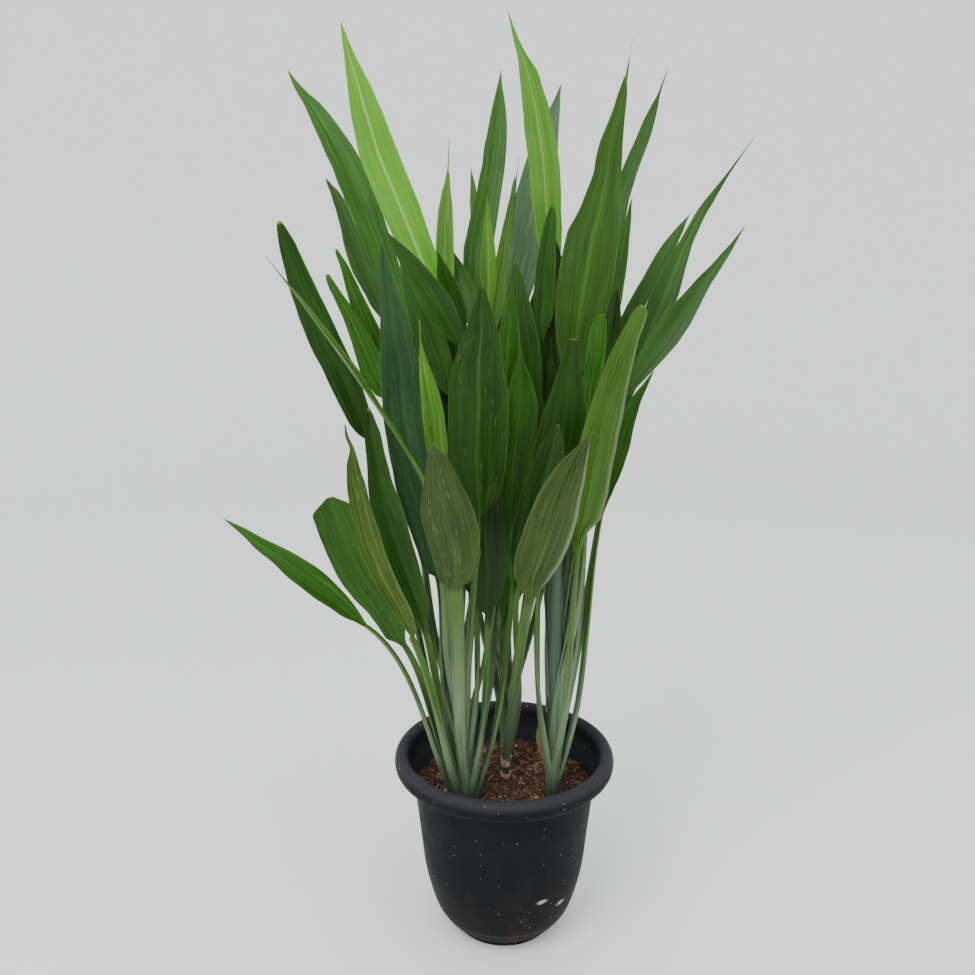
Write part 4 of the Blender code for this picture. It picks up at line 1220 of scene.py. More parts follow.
@dataclass(frozen=True)
class PlasticFinish:
    """Recycled polypropylene, injection moulded: a satin charcoal skin with a fine spark grain.

    The dull skin catches a broad soft light on the rolled lip, and the lip is painted a lighter colour
    for it: a painted highlight. Dust and splashed lime lie on it as small pale specks, and the lower
    wall is browned by dust.
    """

    skin: str = "17181a"
    scuffed: str = "1c1d1f"
    # lip is a painted highlight: the lighter colour of the rolled lip, where it catches the light
    lip: str = "303135"
    # inner is painted light: the inner side is the same plastic, given a lighter colour for the light that
    # falls into the pot
    inner: str = "303337"
    line: str = "4a4c4e"
    speck: str = "b9b7ac"
    dust: str = "33261b"
    roughness: float = 0.50
    smoother: float = 0.07       # the patches' roughness, below and above the skin's
    rougher: float = 0.12
    specular: float = 0.04
    ior: float = 1.49
    # where the lip's painted highlight begins, and over what height it comes in
    lip_height: float = 0.212
    lip_fade: float = 0.01
    scuffs: tuple[Triple, ...] = ((0.0438, -0.0846, 0.0774), (0.0656, -0.0643, 0.0627))
    scuff_reach: float = 0.0070
    scuff_core: float = 0.6      # share of its reach within which a scuff is whole
    scuff_squash: Triple = (1.0, 1.0, 2.4)
    grain_mm: float = 0.8        # coarser than the real 0.1 mm grain, so that it shows
    grain_height_mm: float = 0.03
    grain_bump: float = 0.5
    speck_mm: float = 5.0
    speck_reach: float = 0.13    # the largest speck's radius, as a share of the spacing
    speck_rarity: float = 3.0    # how few of the specks are large
    pale_share: float = 0.8      # how much the specks, the scuffs and the line cover
    patch_mm: float = 30.0
    patch_span: Pair = (0.40, 0.70)
    dust_height: float = 0.11
    dust_share: float = 0.7
    dust_side: Pair = (0.01, 0.10)  # along X, from no more dust to the most
    dust_side_share: float = 0.8
    foot_line: float = 0.0280    # height of the pale line along the edge low on the bowl
    foot_line_reach: float = 0.0008

    def specks(self, graph: Graph) -> Socket:
        """Specks of many sizes: each reaches out by the greatest reach times a random number cubed.

        Args:
            graph: the material's nodes.

        Returns:
            1 on a speck and 0 beside it.
        """
        cells = graph.add("ShaderNodeTexVoronoi", {
            "Vector": graph.place, "Scale": 1 / (self.speck_mm * MM)})
        pick = graph.add("ShaderNodeSeparateColor", {0: cells.outputs["Color"]}).outputs[0]
        reach = graph.math("MULTIPLY", graph.math("POWER", pick, self.speck_rarity), self.speck_reach)
        return graph.math("LESS_THAN", cells.outputs["Distance"], reach)

    def scuff(self, graph: Graph, centre: Sequence[float], ragged: Value) -> Socket:
        """One scuff: a flat ellipse whose edge is torn by the grain.

        Args:
            graph: the material's nodes.
            centre: its middle on the wall.
            ragged: how far the edge is moved.

        Returns:
            1 in the scuff and 0 outside it.
        """
        away = graph.vector_math("SUBTRACT", graph.place, centre).outputs[0]
        flat = graph.vector_math("MULTIPLY", away, self.scuff_squash).outputs[0]
        far = graph.vector_math("LENGTH", flat).outputs["Value"]
        return graph.ramp(graph.math("ADD", far, ragged),
                          (self.scuff_reach, self.scuff_reach * self.scuff_core))

    def build(self) -> Material:
        """Make the material; the pot_inner mark is 1 on the inner side, which gets painted light.

        Returns:
            The material.
        """
        graph = Graph("polypropylene_moulded_charcoal")
        grain = graph.noise(graph.place, self.grain_mm * MM)
        patches = graph.noise(graph.place, self.patch_mm * MM, detail=4.0)
        patch = graph.ramp(patches, self.patch_span, eased=True)
        beside, _, height = graph.parts(graph.place)
        low = graph.ramp(height, (self.dust_height, 0.0), eased=True)
        right = graph.ramp(beside, self.dust_side, end=self.dust_side_share)
        dusty = graph.math("MULTIPLY", low, graph.math("MAXIMUM", right, patch))
        # painted highlight: above lip_height the lip takes the lighter lip colour
        band_by_height = graph.ramp(height, (self.lip_height, self.lip_height + self.lip_fade), eased=True)
        off_line = graph.math("ABSOLUTE", graph.math("SUBTRACT", height, self.foot_line))
        foot = graph.ramp(off_line, (self.foot_line_reach, self.foot_line_reach / 2))
        torn = self.scuff_reach / 2
        ragged = graph.ramp(grain, NOISE_SPAN, -torn, torn)
        # the inner side's lighter colour is painted light, for the light that falls into the pot
        marks = [(band_by_height, self.lip, 1.0), (graph.mark("pot_inner"), self.inner, 1.0),
                 (dusty, self.dust, self.dust_share), (foot, self.line, self.pale_share),
                 (self.specks(graph), self.speck, self.pale_share)]
        marks += [(self.scuff(graph, centre, ragged), self.speck, self.pale_share)
                  for centre in self.scuffs]
        colour = graph.mix(patch, self.skin, self.scuffed)
        for amount, code, share in marks:
            colour = graph.mix(graph.math("MULTIPLY", amount, share), colour, code)
        graph.bump(grain, self.grain_bump, self.grain_height_mm)
        rough = graph.ramp(patches, NOISE_SPAN, self.roughness - self.smoother,
                           self.roughness + self.rougher)
        return graph.finish(colour, rough, {"IOR": self.ior, "Specular IOR Level": self.specular})


@dataclass
class Pot:
    """A moulded pot: flat foot, bowl-shaped wall and a rolled lip, turned about Z."""

    finish: PlasticFinish
    sides: int = 192
    wall: float = 0.0022
    floor: float = 0.0030
    foot_radius: float = 0.0606
    foot_bevel: float = 0.0006
    foot_top: Pair = (0.0625, 0.0105)
    outside: tuple[Pair, ...] = (
        (0.0705, 0.0125), (0.0765, 0.0200), (0.0830, 0.0320), (0.0890, 0.0500), (0.0958, 0.0800),
        (0.1003, 0.1200), (0.1047, 0.1600), (0.1085, 0.1950))
    bend_knots: int = 2          # of the outside, where the inner side bends up from the floor
    under_rings: tuple[float, ...] = (0.0004, 0.02, 0.04)
    lip_centre: Pair = (0.1215, 0.2130)
    lip_half_width: float = 0.0085
    lip_half_height: float = 0.0120
    lip_ends: Pair = (-120.0, 165.0)
    lip_steps: int = 36
    rows_per_span: int = 5
    line_height: float = 0.186   # of the faint step under the lip
    line_depth: float = 0.0005
    line_rise: float = 0.002
    worn_reach: float = 0.0015
    inner_line: float = 0.205
    inner_depth: float = 0.0004
    inner_reach: float = 0.0012
    drain_holes: int = 6
    drain_radius: float = 0.0050
    drain_ring: float = 0.0400
    drain_sides: int = 24

    def curve(self, knots: Sequence[Pair]) -> Array:
        """A smooth line through knots: a Catmull-Rom cubic on each span.

        Between b and c, with a before and d after them, a point is half of 2 b + (c - a) u +
        (2 a - 5 b + 4 c - d) u^2 + (3 b - a - 3 c + d) u^3, for u from 0 to 1.

        Args:
            knots: radius and height of each knot.

        Returns:
            The line's points.
        """
        p = np.array(knots)
        p = np.concatenate([[2 * p[0] - p[1]], p, [2 * p[-1] - p[-2]]])
        u = np.linspace(0, 1, self.rows_per_span + 1)[:-1, None]
        spans = [(2 * b + (c - a) * u + (2 * a - 5 * b + 4 * c - d) * u**2
                  + (3 * b - a - 3 * c + d) * u**3) / 2
                 for a, b, c, d in zip(p[:-3], p[1:-2], p[2:-1], p[3:])]
        return np.concatenate([*spans, p[-2:-1]])

    def inner_foot(self) -> list[Pair]:
        """The inner side's points round the floor and up its bend."""
        bends = self.outside[:self.bend_knots]
        return [(self.foot_radius - self.wall, self.floor),
                (self.foot_top[0] - self.wall, self.foot_top[1] + self.wall),
                *((radius - self.wall, height + self.wall / 2) for radius, height in bends)]

    def inner_wall(self) -> list[Pair]:
        """The inner side's points from its bend up to the lip."""
        return [(radius - self.wall, height) for radius, height in self.outside[self.bend_knots:]]

    def lip(self, shrink: float) -> Array:
        """The rolled lip as an arc of an ellipse, drawn in by a thickness."""
        angle = np.radians(np.linspace(*self.lip_ends, self.lip_steps))
        return np.stack([self.lip_centre[0] + (self.lip_half_width - shrink) * np.cos(angle),
                         self.lip_centre[1] + (self.lip_half_height - shrink) * np.sin(angle)], axis=1)

    def inner_profile(self) -> Array:
        """The inner side from the lip down to the floor's middle, with a raised ring line.

        Returns:
            Radius and height of each point.
        """
        inner = self.curve(self.inner_wall())
        inner[:, 0] -= self.inner_depth * np.exp(-((inner[:, 1] - self.inner_line) / self.inner_reach)**2)
        floor = [(radius, self.floor) for radius in self.under_rings[1::-1]]
        return np.concatenate([inner[::-1], self.inner_foot()[::-1], floor])

    def profile(self) -> Array:
        """The whole section, from the underside's middle, up the outside, over the lip and down.

        Returns:
            Radius and height of each point.
        """
        outer = self.curve(self.outside)
        step = self.line_depth * np.clip((outer[:, 1] - self.line_height) / self.line_rise, 0, 1)
        band_by_height = self.line_depth * np.exp(-((outer[:, 1] - self.finish.foot_line) / self.worn_reach)**2)
        outer[:, 0] += step + band_by_height
        under = [*((radius, 0.0) for radius in self.under_rings), (self.foot_radius - self.foot_bevel, 0.0),
                 (self.foot_radius, self.foot_bevel), self.foot_top]
        return np.concatenate([under, outer, self.lip(self.wall)[::-1], self.lip(0.0),
                               self.inner_profile()])

    def shape(self) -> Shape:
        """Turn the profile about Z and close it with a small cap at each end.

        Returns:
            The pot without its drain holes, with the pot_inner mark.
        """
        line = self.profile()
        shape = closed_rings(revolve(line, self.sides), np.array([[0, 0, line[0, 1]], [0, 0, line[-1, 1]]]))
        inner = np.arange(len(line)) >= len(line) - len(self.inner_profile())
        shape.marks["pot_inner"] = np.append(np.repeat(inner.astype(float), self.sides), [0.0, 1.0])
        return shape

    def build(self) -> None:
        """Make the pot, with its drain holes cut by one Boolean that is then applied."""
        pot = place_piece("pot_moulded", self.shape(), self.finish.build(), ["pot"], SHARP_POT)
        bearings = np.arange(self.drain_holes) * 360 / self.drain_holes
        drills = []
        for centre in level_vector(bearings) * self.drain_ring:
            ends = np.stack([centre - UP * self.floor, centre + UP * 2 * self.floor])
            drills.append(tube_shape(ends, np.full(2, self.drain_radius), self.drain_sides))
        drill = bpy.data.objects.new("drain_drill", join_shapes(drills).mesh("drain_drill", SHARP_DRILL))
        bpy.context.scene.collection.objects.link(drill)
        cut = pot.modifiers.new("drain_holes", "BOOLEAN")
        cut.operation = "DIFFERENCE"
        cut.solver = "EXACT"
        cut.object = drill
        drained = bpy.data.meshes.new_from_object(pot.evaluated_get(bpy.context.evaluated_depsgraph_get()))
        pot.modifiers.clear()
        pot.data = drained
        bpy.data.objects.remove(drill, do_unlink=True)


@dataclass(frozen=True)
class CoirFinish:
    """Shredded coconut husk, moist: dull brown crumbs, with paler chips and fibres."""

    name: str
    dark: str
    middle: str
    pale: str
    roughness: float = 0.92
    grain_mm: float = 1.6
    grain_bump: float = 0.8
    grain_height_mm: float = 0.4
    stir: float = 0.35           # how far the grain moves a crumb's tone
    middle_span: Pair = (0.1, 0.6)
    pale_span: Pair = (0.6, 1.0)

    def build(self) -> Material:
        """Make the material; each crumb's coir_tone mark, from 0 to 1, picks its colour.

        Returns:
            The material.
        """
        graph = Graph(self.name)
        grain = graph.noise(graph.place, self.grain_mm * MM, detail=4.0)
        level = graph.math("ADD", graph.mark("coir_tone"),
                           graph.ramp(grain, NOISE_SPAN, -self.stir, self.stir))
        colour = graph.mix(graph.ramp(level, self.middle_span), self.dark, self.middle)
        colour = graph.mix(graph.ramp(level, self.pale_span), colour, self.pale)
        graph.bump(grain, self.grain_bump, self.grain_height_mm)
        return graph.finish(colour, self.roughness)


@dataclass
class Soil:
    """Coconut fibre that fills the pot: a crumbly bed, loose chips and springy threads."""

    pot: Pot
    rings: int = 90
    sides: int = 240
    lump: float = 0.0016
    waves: tuple[tuple[float, float, float, float], ...] = (
        (230.0, 190.0, 1.0, 0.5), (230.0, -190.0, 1.0, 0.5), (-300.0, 410.0, 0.0, 0.6))
    dome: float = 0.0030
    flat_middle: float = 0.22
    crumbs: tuple[Pair, ...] = ((0.0090, 0.0026), (0.0040, 0.0015), (0.0016, 0.0008))
    edge: float = 0.1038
    skirt: float = 0.010         # the bed's rim reaches down the wall by this much
    middle_ring: float = 0.0004
    middle_share: float = 0.0001  # of the bed's area, inside its innermost ring
    tone: Triple = (0.35, 0.3, 0.006)  # mean, swing and spacing
    scatter_reach: float = 0.985  # of the edge, for loose pieces
    crumb_seed: int = 7
    tone_seed: int = 8
    chip_seed: int = 9
    thread_seed: int = 10
    chips: int = 3000
    size_shape: float = 3.0      # of the gamma draws of lengths
    chip_long_mm: float = 1.5    # scales of those draws
    chip_wide_mm: float = 0.7
    chip_thick_mm: Pair = (0.4, 1.8)
    chip_corners: Pair = (0.45, 1.15)  # how far out each corner stands
    chip_tilt: float = 0.45      # radians, about X and Y
    chip_lift_mm: float = 0.3
    chip_dark: float = 1.4       # power on a chip's even tone: above 1 for more dark
    threads: int = 1500
    thread_rows: int = 6
    thread_sides: int = 3
    thread_long_mm: float = 3.2
    thread_curl: float = 1.6     # radians over the whole thread
    thread_arch: Pair = (1.2, 0.10)  # gamma draw, of the thread's length
    thread_tilt: float = 0.12    # rise of the thread's end, of its length
    thread_lift_mm: float = 0.8
    thread_inside: float = 0.99  # of the edge, that no thread passes
    thread_radius_mm: Pair = (0.10, 0.26)

    def height(self, x: Array, y: Array) -> Array:
        """The bed's mean height: a low dome with the frame's broad lumps.

        With r the distance from the middle as a share of the edge, it is the dome times 1 - r^2,
        and a sum of sines of x and y that fades out towards the middle.

        Args:
            x: places along X.
            y: places along Y.

        Returns:
            The height at each place.
        """
        reach = np.hypot(x, y) / self.edge
        flat = np.clip((reach - self.flat_middle) / self.flat_middle, 0, 1)
        lumps = self.lump * sum(share * np.sin(along_x * x + along_y * y + phase)
                                for along_x, along_y, phase, share in self.waves)
        return SOIL_TOP + self.dome * (1 - reach**2) + flat * lumps

    def crumbled(self, x: Array, y: Array) -> Array:
        """The bed's height with three sizes of seeded crumbs on it."""
        draws = np.random.default_rng(self.crumb_seed)
        return self.height(x, y) + sum(rise * value_noise(x, y, spacing, draws)
                                       for spacing, rise in self.crumbs)

    def bed(self) -> Shape:
        """A disc of rings, crumbly on top, with a skirt down the wall and a flat underside.

        Returns:
            The bed's shape, with the coir_tone mark.
        """
        angle = round_angles(self.sides)
        radius = self.edge * np.sqrt(np.linspace(1, self.middle_share, self.rings))[:, None]
        x, y = radius * np.cos(angle), radius * np.sin(angle)
        top = np.stack([x, y, self.crumbled(x, y)], axis=2)
        wall = [(reach - GAP, level + GAP) for reach, level in self.pot.inner_foot() + self.pot.inner_wall()
                if level < SOIL_TOP - self.skirt]
        floor = wall[0][1]
        rings = np.concatenate([revolve(np.array([(self.middle_ring, floor), *wall]), self.sides), top])
        shape = closed_rings(rings, np.array([[0, 0, floor], [0, 0, rings[-1, :, 2].mean()]]))
        mean, swing, spacing = self.tone
        draws = np.random.default_rng(self.tone_seed)
        shape.marks["coir_tone"] = mean + swing * value_noise(
            shape.points[:, 0], shape.points[:, 1], spacing, draws)
        return shape

    def scatter(self, count: int, draws: np.random.Generator) -> Array:
        """Seeded places on the bed, none of them inside a shoot.

        Args:
            count: how many places are drawn.
            draws: the seeded source.

        Returns:
            The places that are left.
        """
        reach = self.edge * self.scatter_reach * np.sqrt(draws.uniform(0, 1, count))
        bearing = draws.uniform(0, 360, count)
        spots = level_vector(bearing) * reach[:, None]
        for line in SHOOTS.values():
            away = spots[:, :2] - np.array(line.foot) * CM
            spots = spots[np.hypot(away[:, 0], away[:, 1]) > line.radius(0.0)]
        spots[:, 2] = self.crumbled(spots[:, 0], spots[:, 1])
        return spots

    def chip_shape(self) -> Shape:
        """Loose chips: boxes with uneven corners, laid nearly flat.

        Each box is turned about X, Y and Z in turn: (a, b) becomes (a cos - b sin, a sin + b cos).

        Returns:
            All chips as one shape, with the coir_tone mark.
        """
        draws = np.random.default_rng(self.chip_seed)
        spots = self.scatter(self.chips, draws)
        count = len(spots)
        sizes = np.stack([draws.gamma(self.size_shape, self.chip_long_mm, count),
                          draws.gamma(self.size_shape, self.chip_wide_mm, count),
                          draws.uniform(*self.chip_thick_mm, count)], axis=1) * MM
        signs = np.array([(a, b, c) for c in (-1, 1) for b in (-1, 1) for a in (-1, 1)])
        uneven = draws.uniform(*self.chip_corners, (count, len(signs), 3))
        corners = signs[None] * sizes[:, None] / 2 * uneven
        yaw = draws.uniform(0, 2 * math.pi, count)
        tilt = draws.normal(0, self.chip_tilt, (2, count))
        for first, second, angle in ((1, 2, tilt[0]), (0, 2, tilt[1]), (0, 1, yaw)):
            cosine, sine = np.cos(angle)[:, None], np.sin(angle)[:, None]
            a, b = corners[..., first].copy(), corners[..., second].copy()
            corners[..., first], corners[..., second] = a * cosine - b * sine, a * sine + b * cosine
        points = (corners + spots[:, None] + UP * self.chip_lift_mm * MM).reshape(-1, 3)
        box = np.array([(0, 2, 3, 1), (4, 5, 7, 6), (0, 1, 5, 4), (2, 6, 7, 3), (0, 4, 6, 2), (1, 3, 7, 5)])
        quads = (box[None] + len(signs) * np.arange(count)[:, None, None]).reshape(-1, 4)
        tone = np.repeat(draws.uniform(0, 1, count)**self.chip_dark, len(signs))
        return Shape(points, quads, marks={"coir_tone": tone})

    def thread_shape(self) -> Shape:
        """Springy threads: three-sided tubes along seeded arcs that lie on the bed.

        Each thread's middle rises from its ends by its arch times 1 - 4 s^2, for s from -1/2 to
        1/2 along it, and its whole length tilts.

        Returns:
            All threads as one shape, with the coir_tone mark.
        """
        draws = np.random.default_rng(self.thread_seed)
        spots = self.scatter(self.threads, draws)
        rows, sides = self.thread_rows, self.thread_sides
        count = len(spots)
        along = np.linspace(-0.5, 0.5, rows)
        length = draws.gamma(self.size_shape, self.thread_long_mm, count) * MM
        yaw = draws.uniform(0, 2 * math.pi, count)
        curl = draws.normal(0, self.thread_curl, count)
        angle = yaw[:, None] + curl[:, None] * along
        step = np.stack([np.cos(angle), np.sin(angle)], axis=2) * (length / rows)[:, None, None]
        level = np.cumsum(step, axis=1)
        level = level - level.mean(axis=1, keepdims=True)
        arch = draws.gamma(*self.thread_arch, count)[:, None] * length[:, None] * (1 - 4 * along**2)
        tilt = draws.normal(0, self.thread_tilt, count)[:, None] * length[:, None] * 2 * along
        x, y = spots[:, :1] + level[..., 0], spots[:, 1:2] + level[..., 1]
        inside = np.minimum(1, self.edge * self.thread_inside / np.hypot(x, y))
        x, y = x * inside, y * inside
        centres = np.stack([x, y, self.height(x, y) + self.thread_lift_mm * MM + arch + tilt], axis=2)
        radius = draws.uniform(*self.thread_radius_mm, count) * MM
        turn = round_angles(sides)
        across = np.stack([-np.sin(angle), np.cos(angle), np.zeros_like(angle)], axis=2)
        ring = across[:, :, None] * np.cos(turn)[:, None] + UP * np.sin(turn)[:, None]
        points = centres[:, :, None] + ring * radius[:, None, None, None]
        starts = rows * sides * np.arange(count)[:, None, None]
        one = grid_quads(rows, sides, closed=True)[:, ::-1]
        last = (rows - 1) * sides
        caps = np.array([(0, 1, 2), (last + 2, last + 1, last)])
        tone = np.repeat(draws.uniform(0, 1, count), rows * sides)
        return Shape(points.reshape(-1, 3), (one[None] + starts).reshape(-1, 4),
                     (caps[None] + starts).reshape(-1, 3), {"coir_tone": tone})

    def build(self) -> None:
        """Make the bed, the chips and the threads."""
        bed = CoirFinish("coir_pith_moist", "1d100b", "3e2617", "654228")
        chips = CoirFinish("coir_chips_cut", "28160e", "553622", "a07c50")
        threads = CoirFinish("coir_fibre_loose", "3e2616", "74522c", "b08e5c", roughness=0.8)
        place_piece("soil_bed", self.bed(), bed.build(), ["soil"])
        place_piece("soil_chips", self.chip_shape(), chips.build(), sharp_angle=SHARP_CHIP)
        place_piece("soil_threads", self.thread_shape(), threads.build())


@dataclass(frozen=True)
class CaneFinish:
    """A green cane: smooth waxy skin, paler with a grey bloom, with fine lengthwise lines."""

    skin: str = "24402a"
    bloom: str = "4c6048"
    roughness: float = 0.48
    line_mm: float = 3.0
    line_stretch: float = 0.03
    line_span: Pair = (0.30, 0.75)

    def build(self) -> Material:
        """Make the material.

        Returns:
            The material.
        """
        graph = Graph("green_cane_grown")
        lines = graph.lines(self.line_stretch, self.line_mm)
        return graph.finish(graph.mix(graph.ramp(lines, self.line_span), self.skin, self.bloom),
                            self.roughness)


@dataclass
class Shoot:
    """A shoot: its cane, and the leaves that clasp it."""

    name: str
    line: ShootLine
    sides: int = 40
    rows: int = 48
    inset: float = 0.0010        # the cane stands this far inside the frame's stem
    inset_over: float = 1.5      # cm of height over which the inset comes in
    depth: float = 6.0           # cm of the cane below the soil's top

    def cane(self) -> Shape:
        """A tapering tube along the shoot's axis, narrowed by the inset above the soil.

        Returns:
            The cane's shape.
        """
        heights = np.linspace(-self.depth, self.line.radii[-1][0], self.rows)
        hidden = smooth((heights - max(self.line.lowest_sheath, 0.0)) / self.inset_over)
        return tube_shape(self.line.axis(heights), self.line.radius(heights) - self.inset * hidden,
                          self.sides)

    def build(self, cane: Material, finishes: dict[Tone, Material],
              start: int) -> int:
        """Make the cane and every leaf of the shoot.

        Args:
            cane: the cane's material.
            finishes: the leaf materials by tone.
            start: the number of the shoot's first leaf, which seeds its draws.

        Returns:
            The number after its last leaf.
        """
        place_piece(f"cane_{self.name}", self.cane(), cane, [f"stem_{self.name}"])
        plans = [plan for plan in LEAVES if plan.shoot == self.name]
        inner = [plan for plan in INNER_LEAVES if plan.shoot == self.name]
        for kind, found, first in (("blade", plans, start), ("inner", inner, len(LEAVES) + start)):
            for order, plan in enumerate(found, start=1):
                nodes = [f"leaf_{self.name}_{order:02d}"] if kind == "blade" else []
                place_piece(f"{kind}_{self.name}_{order:02d}", Leaf(plan, first + order).shape(),
                            finishes[plan.tone], nodes, SHARP_SOFT)
        return start + len(plans)


@dataclass(frozen=True)
class HuskFinish:
    """A dead leaf base: thin papery tissue, dull and fibrous, browned in streaks."""

    name: str = "leaf_base_dried"
    pale: str = "8c6c4c"
    brown: str = "5c3c2a"
    green: str = "5c6636"
    green_height: float = 0.250  # above the floor, where the dry tissue ends
    green_fade: float = 0.004
    roughness: float = 0.85
    line_mm: float = 1.5
    line_stretch: float = 0.2
    line_span: Pair = (0.35, 0.65)
    line_bump: float = 0.8
    line_height_mm: float = 0.3

    def build(self) -> Material:
        """Make the material.

        Returns:
            The material.
        """
        graph = Graph(self.name)
        lines = graph.lines(self.line_stretch, self.line_mm, detail=4.0)
        dry = graph.mix(graph.ramp(lines, self.line_span), self.brown, self.pale)
        living = graph.ramp(graph.parts(graph.place)[2],
                            (self.green_height - self.green_fade, self.green_height + self.green_fade))
        graph.bump(lines, self.line_bump, self.line_height_mm)
        return graph.finish(graph.mix(living, dry, self.green), self.roughness)


@dataclass(frozen=True)
class Collar:
    """A papery collar round the middle shoot: its flare at each height, in cm, and its tears."""

    name: str
    seed: int
    heights: tuple[float, ...]
    flare: tuple[float, ...]
    nodes: tuple[str, ...] = ()
    sides: int = 72
    rows: int = 9
    waves: int = 3               # round the collar, in its flare
    tears: tuple[tuple[float, float, float, float], ...] = (
        (0.16, 2.0, 9.0, 0.45), (0.06, 9.0, 40.0, 0.8))      # height, ring, its place, spacing

    def shape(self, thick: float) -> Shape:
        """The collar as two layers in one loop, its top torn into uneven points.

        The tears are read from noise on a ring, so that they close up round the shoot. The radius
        is the shoot's with the flare added, times 1 + flare sin(waves a).

        Args:
            thick: how thick it is, in cm.

        Returns:
            The closed shape.
        """
        shoot = SHOOTS["middle"]
        draws = np.random.default_rng(self.seed)
        angle = round_angles(self.sides)
        torn = sum(rise * value_noise(np.cos(angle) * reach + place, np.sin(angle) * reach + place,
                                      spacing, draws) for rise, reach, place, spacing in self.tears)
        first, last = self.heights[0], self.heights[-1]
        level = np.linspace(first, last, self.rows)[:, None]
        spread = np.interp(level, self.heights, self.flare)
        radius = (shoot.radius(level) + (GAP + spread * CM)) * (1 + spread * np.sin(self.waves * angle))
        tall = level + torn * (level - first) / (last - first)
        ring = level_vector(np.degrees(angle))
        inside = shoot.axis(tall) + radius[..., None] * ring
        outside = shoot.axis(tall) + (radius[..., None] + thick * CM) * ring
        loops = np.concatenate([outside, inside[::-1]])
        quads = grid_quads(len(loops) + 1, self.sides, closed=True) % (len(loops) * self.sides)
        return Shape(loops.reshape(-1, 3), quads)


@dataclass
class DryScraps:
    """The torn collars on the middle shoot and the curled scrap beside the right one, in cm."""

    line: tuple[Triple, ...] = (
        (4.70, 4.60, 0.20), (4.30, 5.80, 0.52), (3.98, 7.30, 0.69), (3.98, 8.55, 0.57),
        (4.07, 9.37, 0.23))          # across, height and width of the scrap
    depth: float = -3.7
    curl: float = 0.25
    thick: float = 0.05
    rows: int = 40
    columns: int = 15
    ragged: float = 0.03         # how far its edges wander
    ragged_turns: float = 3.0    # how often, for each cm
    ragged_seed: int = 31
    twist: float = 0.04
    twist_turns: float = 9.0     # radians for each cm
    collars: tuple[Collar, ...] = (
        Collar("dry_collar_middle", 11, (1.8, 2.2, 2.6, 2.9), (0.0, 0.02, 0.08, 0.16),
               ("dry_sheath_middle",)),
        Collar("dry_collar_low", 12, (0.25, 0.5, 0.9), (0.0, 0.05, 0.12)))

    def scrap(self) -> Shape:
        """The curled scrap: a strip whose section is a shallow bow, deeper where it is wide.

        With c from -1 to 1 across, its depth is 2 curl (half width) c^2, and a small twist
        sin(turns height) c is added.

        Returns:
            The closed shape.
        """
        knots = np.array(self.line)
        height = np.linspace(knots[0, 1], knots[-1, 1], self.rows)
        middle = np.interp(height, knots[:, 1], knots[:, 0])
        half = np.interp(height, knots[:, 1], knots[:, 2]) / 2
        c = np.linspace(-1, 1, self.columns)
        draws = np.random.default_rng(self.ragged_seed)
        ragged = self.ragged * value_noise(height * self.ragged_turns, np.zeros_like(height), 1.0, draws)
        x = middle[:, None] + (half + ragged)[:, None] * c
        twist = self.twist * np.sin(self.twist_turns * height)[:, None] * c
        y = self.depth + (2 * self.curl * half[:, None] * c**2 + twist)
        z = SOIL_TOP / CM + height[:, None] + 0 * c
        back, front = (np.stack([x, y + offset, z], axis=2)
                       for offset in (self.thick / 2, -self.thick / 2))
        ring = np.concatenate([back, front[:, ::-1]], axis=1) * CM
        return Shape(ring.reshape(-1, 3), skin_quads(self.rows, self.columns)[:, ::-1])

    def build(self) -> None:
        """Make the scrap and both collars."""
        place_piece("dry_scrap_right", self.scrap(), HuskFinish().build(), ["dry_sheath_right"])
        # The collars take a lighter copy of the husk: partly the pale tissue of a bleached collar, partly
        # painted light against the crown's shade on them
        material = HuskFinish("leaf_base_bleached_and_painted_light", pale="e8c8a4", brown="a88260").build()
        for collar in self.collars:
            place_piece(collar.name, collar.shape(self.thick), material, collar.nodes)


def hang(name: str, data: bpy.types.ID, place: Sequence[float],
         turn: Sequence[float]) -> bpy.types.Object:
    """Put a lamp or a camera into the scene.

    Args:
        name: the object's name.
        data: the lamp or the camera.
        place: where it stands.
        turn: its turns about X, Y and Z, in radians.

    Returns:
        The new object.
    """
    holder = bpy.data.objects.new(name, data)
    holder.location = place
    holder.rotation_euler = turn
    bpy.context.scene.collection.objects.link(holder)
    return holder


@dataclass(frozen=True)
class Lamp:
    """A square soft lamp: its place, its side in metres and its power in watts."""

    name: str
    place: Triple
    size: float
    power: float

    def build(self, target: Sequence[float]) -> None:
        """Hang the lamp and turn it to a target.

        Args:
            target: the point that it looks at.
        """
        lamp = bpy.data.lights.new(self.name, "AREA")
        lamp.size = self.size
        lamp.energy = self.power
        aim = np.array(target) - np.array(self.place)
        tilt = math.atan2(math.hypot(aim[0], aim[1]), -aim[2])
        hang(self.name, lamp, self.place, (tilt, 0.0, math.atan2(-aim[0], aim[1])))


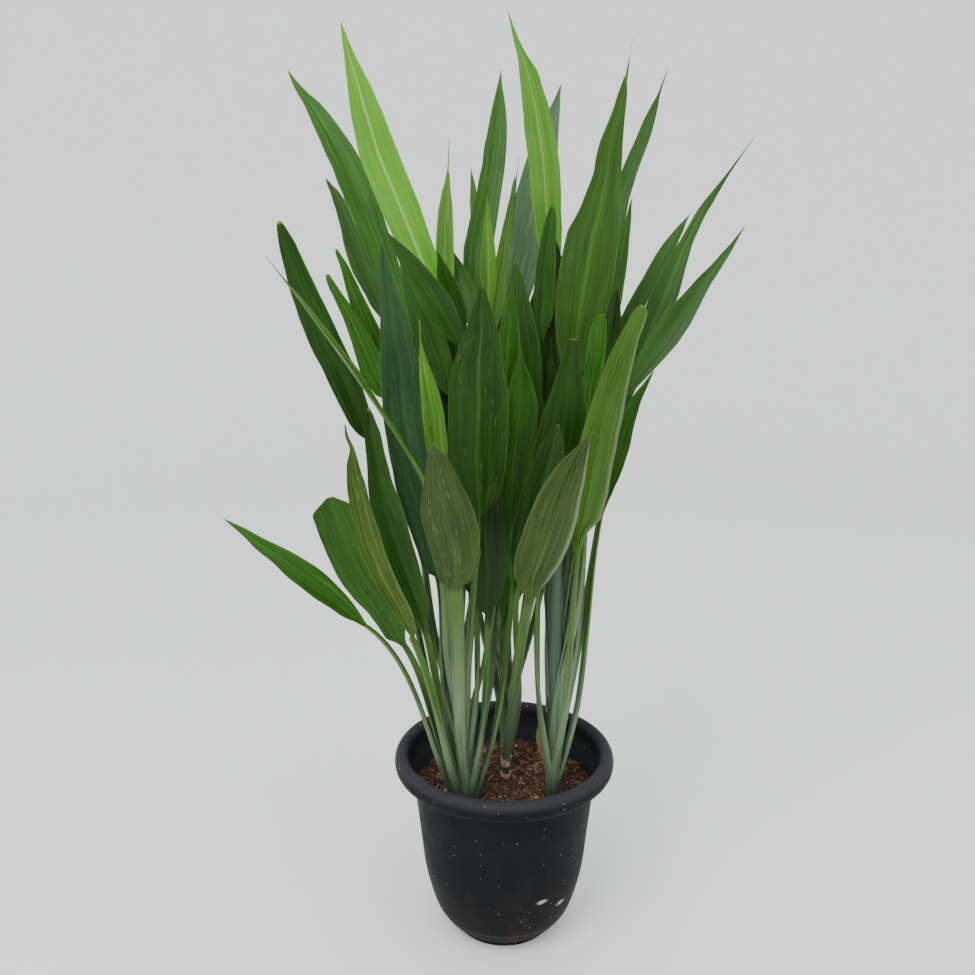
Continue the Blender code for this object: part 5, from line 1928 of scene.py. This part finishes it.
@dataclass
class Studio:
    """A pale sweep under and behind the plant, soft lights and the camera."""

    floor_rings: tuple[float, ...] = (0.01, 0.5, 1.0, 1.8)
    floor_radius: float = 2.6
    wall_radius: float = 4.2
    wall_height: float = 3.0
    bend_steps: int = 16
    sides: int = 96
    paper: str = "f4f4f2"
    paper_roughness: float = 0.9
    sky: tuple[float, float, float, float] = (0.93, 0.96, 1.0, 1.0)
    sky_strength: float = 1.3
    target: Triple = (0.0, 0.0, 0.5)
    lamps: tuple[Lamp, ...] = (Lamp("key", (-1.1, -1.8, 2.7), 1.6, 60.0),
                               Lamp("fill", (1.6, -1.4, 1.6), 1.4, 14.0))

    def sweep(self) -> None:
        """A round floor that curves up into a low wall, so that no edge shows from any side."""
        bend = np.radians(np.linspace(0, 90, self.bend_steps))
        reach = self.wall_radius - self.floor_radius
        line = np.array([*((radius, 0.0) for radius in self.floor_rings),
                         *zip(self.floor_radius + reach * np.sin(bend), reach * (1 - np.cos(bend))),
                         (self.wall_radius, self.wall_height)])
        shape = Shape(revolve(line, self.sides).reshape(-1, 3),
                      grid_quads(len(line), self.sides, closed=True))
        floor = bpy.data.objects.new("studio_floor", shape.mesh("studio_floor", SHARP_SOFT))
        floor.data.materials.append(Graph("matt_white_paper").finish(self.paper, self.paper_roughness))
        bpy.context.scene.collection.objects.link(floor)

    def light(self) -> None:
        """A bright even sky, one large soft lamp above and before the plant, and a weak one."""
        world = bpy.data.worlds.new("studio_sky")
        world.use_nodes = True
        sky = world.node_tree.nodes["Background"]
        sky.inputs["Color"].default_value = self.sky
        sky.inputs["Strength"].default_value = self.sky_strength
        bpy.context.scene.world = world
        for lamp in self.lamps:
            lamp.build(self.target)

    def camera(self) -> None:
        """The camera at the photograph's place and angle."""
        view = bpy.data.cameras.new("camera")
        view.lens = LENS_MM
        view.sensor_width = SENSOR_MM
        turn = (math.radians(90 - PITCH_DOWN), 0.0, math.radians(YAW_LEFT))
        bpy.context.scene.camera = hang("camera", view, EYE, turn)

    def build(self) -> None:
        """Make the floor, the light and the camera."""
        self.camera()
        self.sweep()
        self.light()


def main() -> None:
    """Build the studio, the pot, the soil, the shoots with their leaves, and the dry scraps."""
    logging.basicConfig(level=logging.INFO, format="%(message)s")
    Studio().build()
    pot = Pot(PlasticFinish())
    pot.build()
    Soil(pot).build()
    cane = CaneFinish().build()
    finishes = {tone: finish.build(f"leaf_grown_{tone.value}") for tone, finish in LEAF_FINISHES.items()}
    number = 0
    for name, line in SHOOTS.items():
        number = Shoot(name, line).build(cane, finishes, number)
    DryScraps().build()


if __name__ == "__main__":
    main()
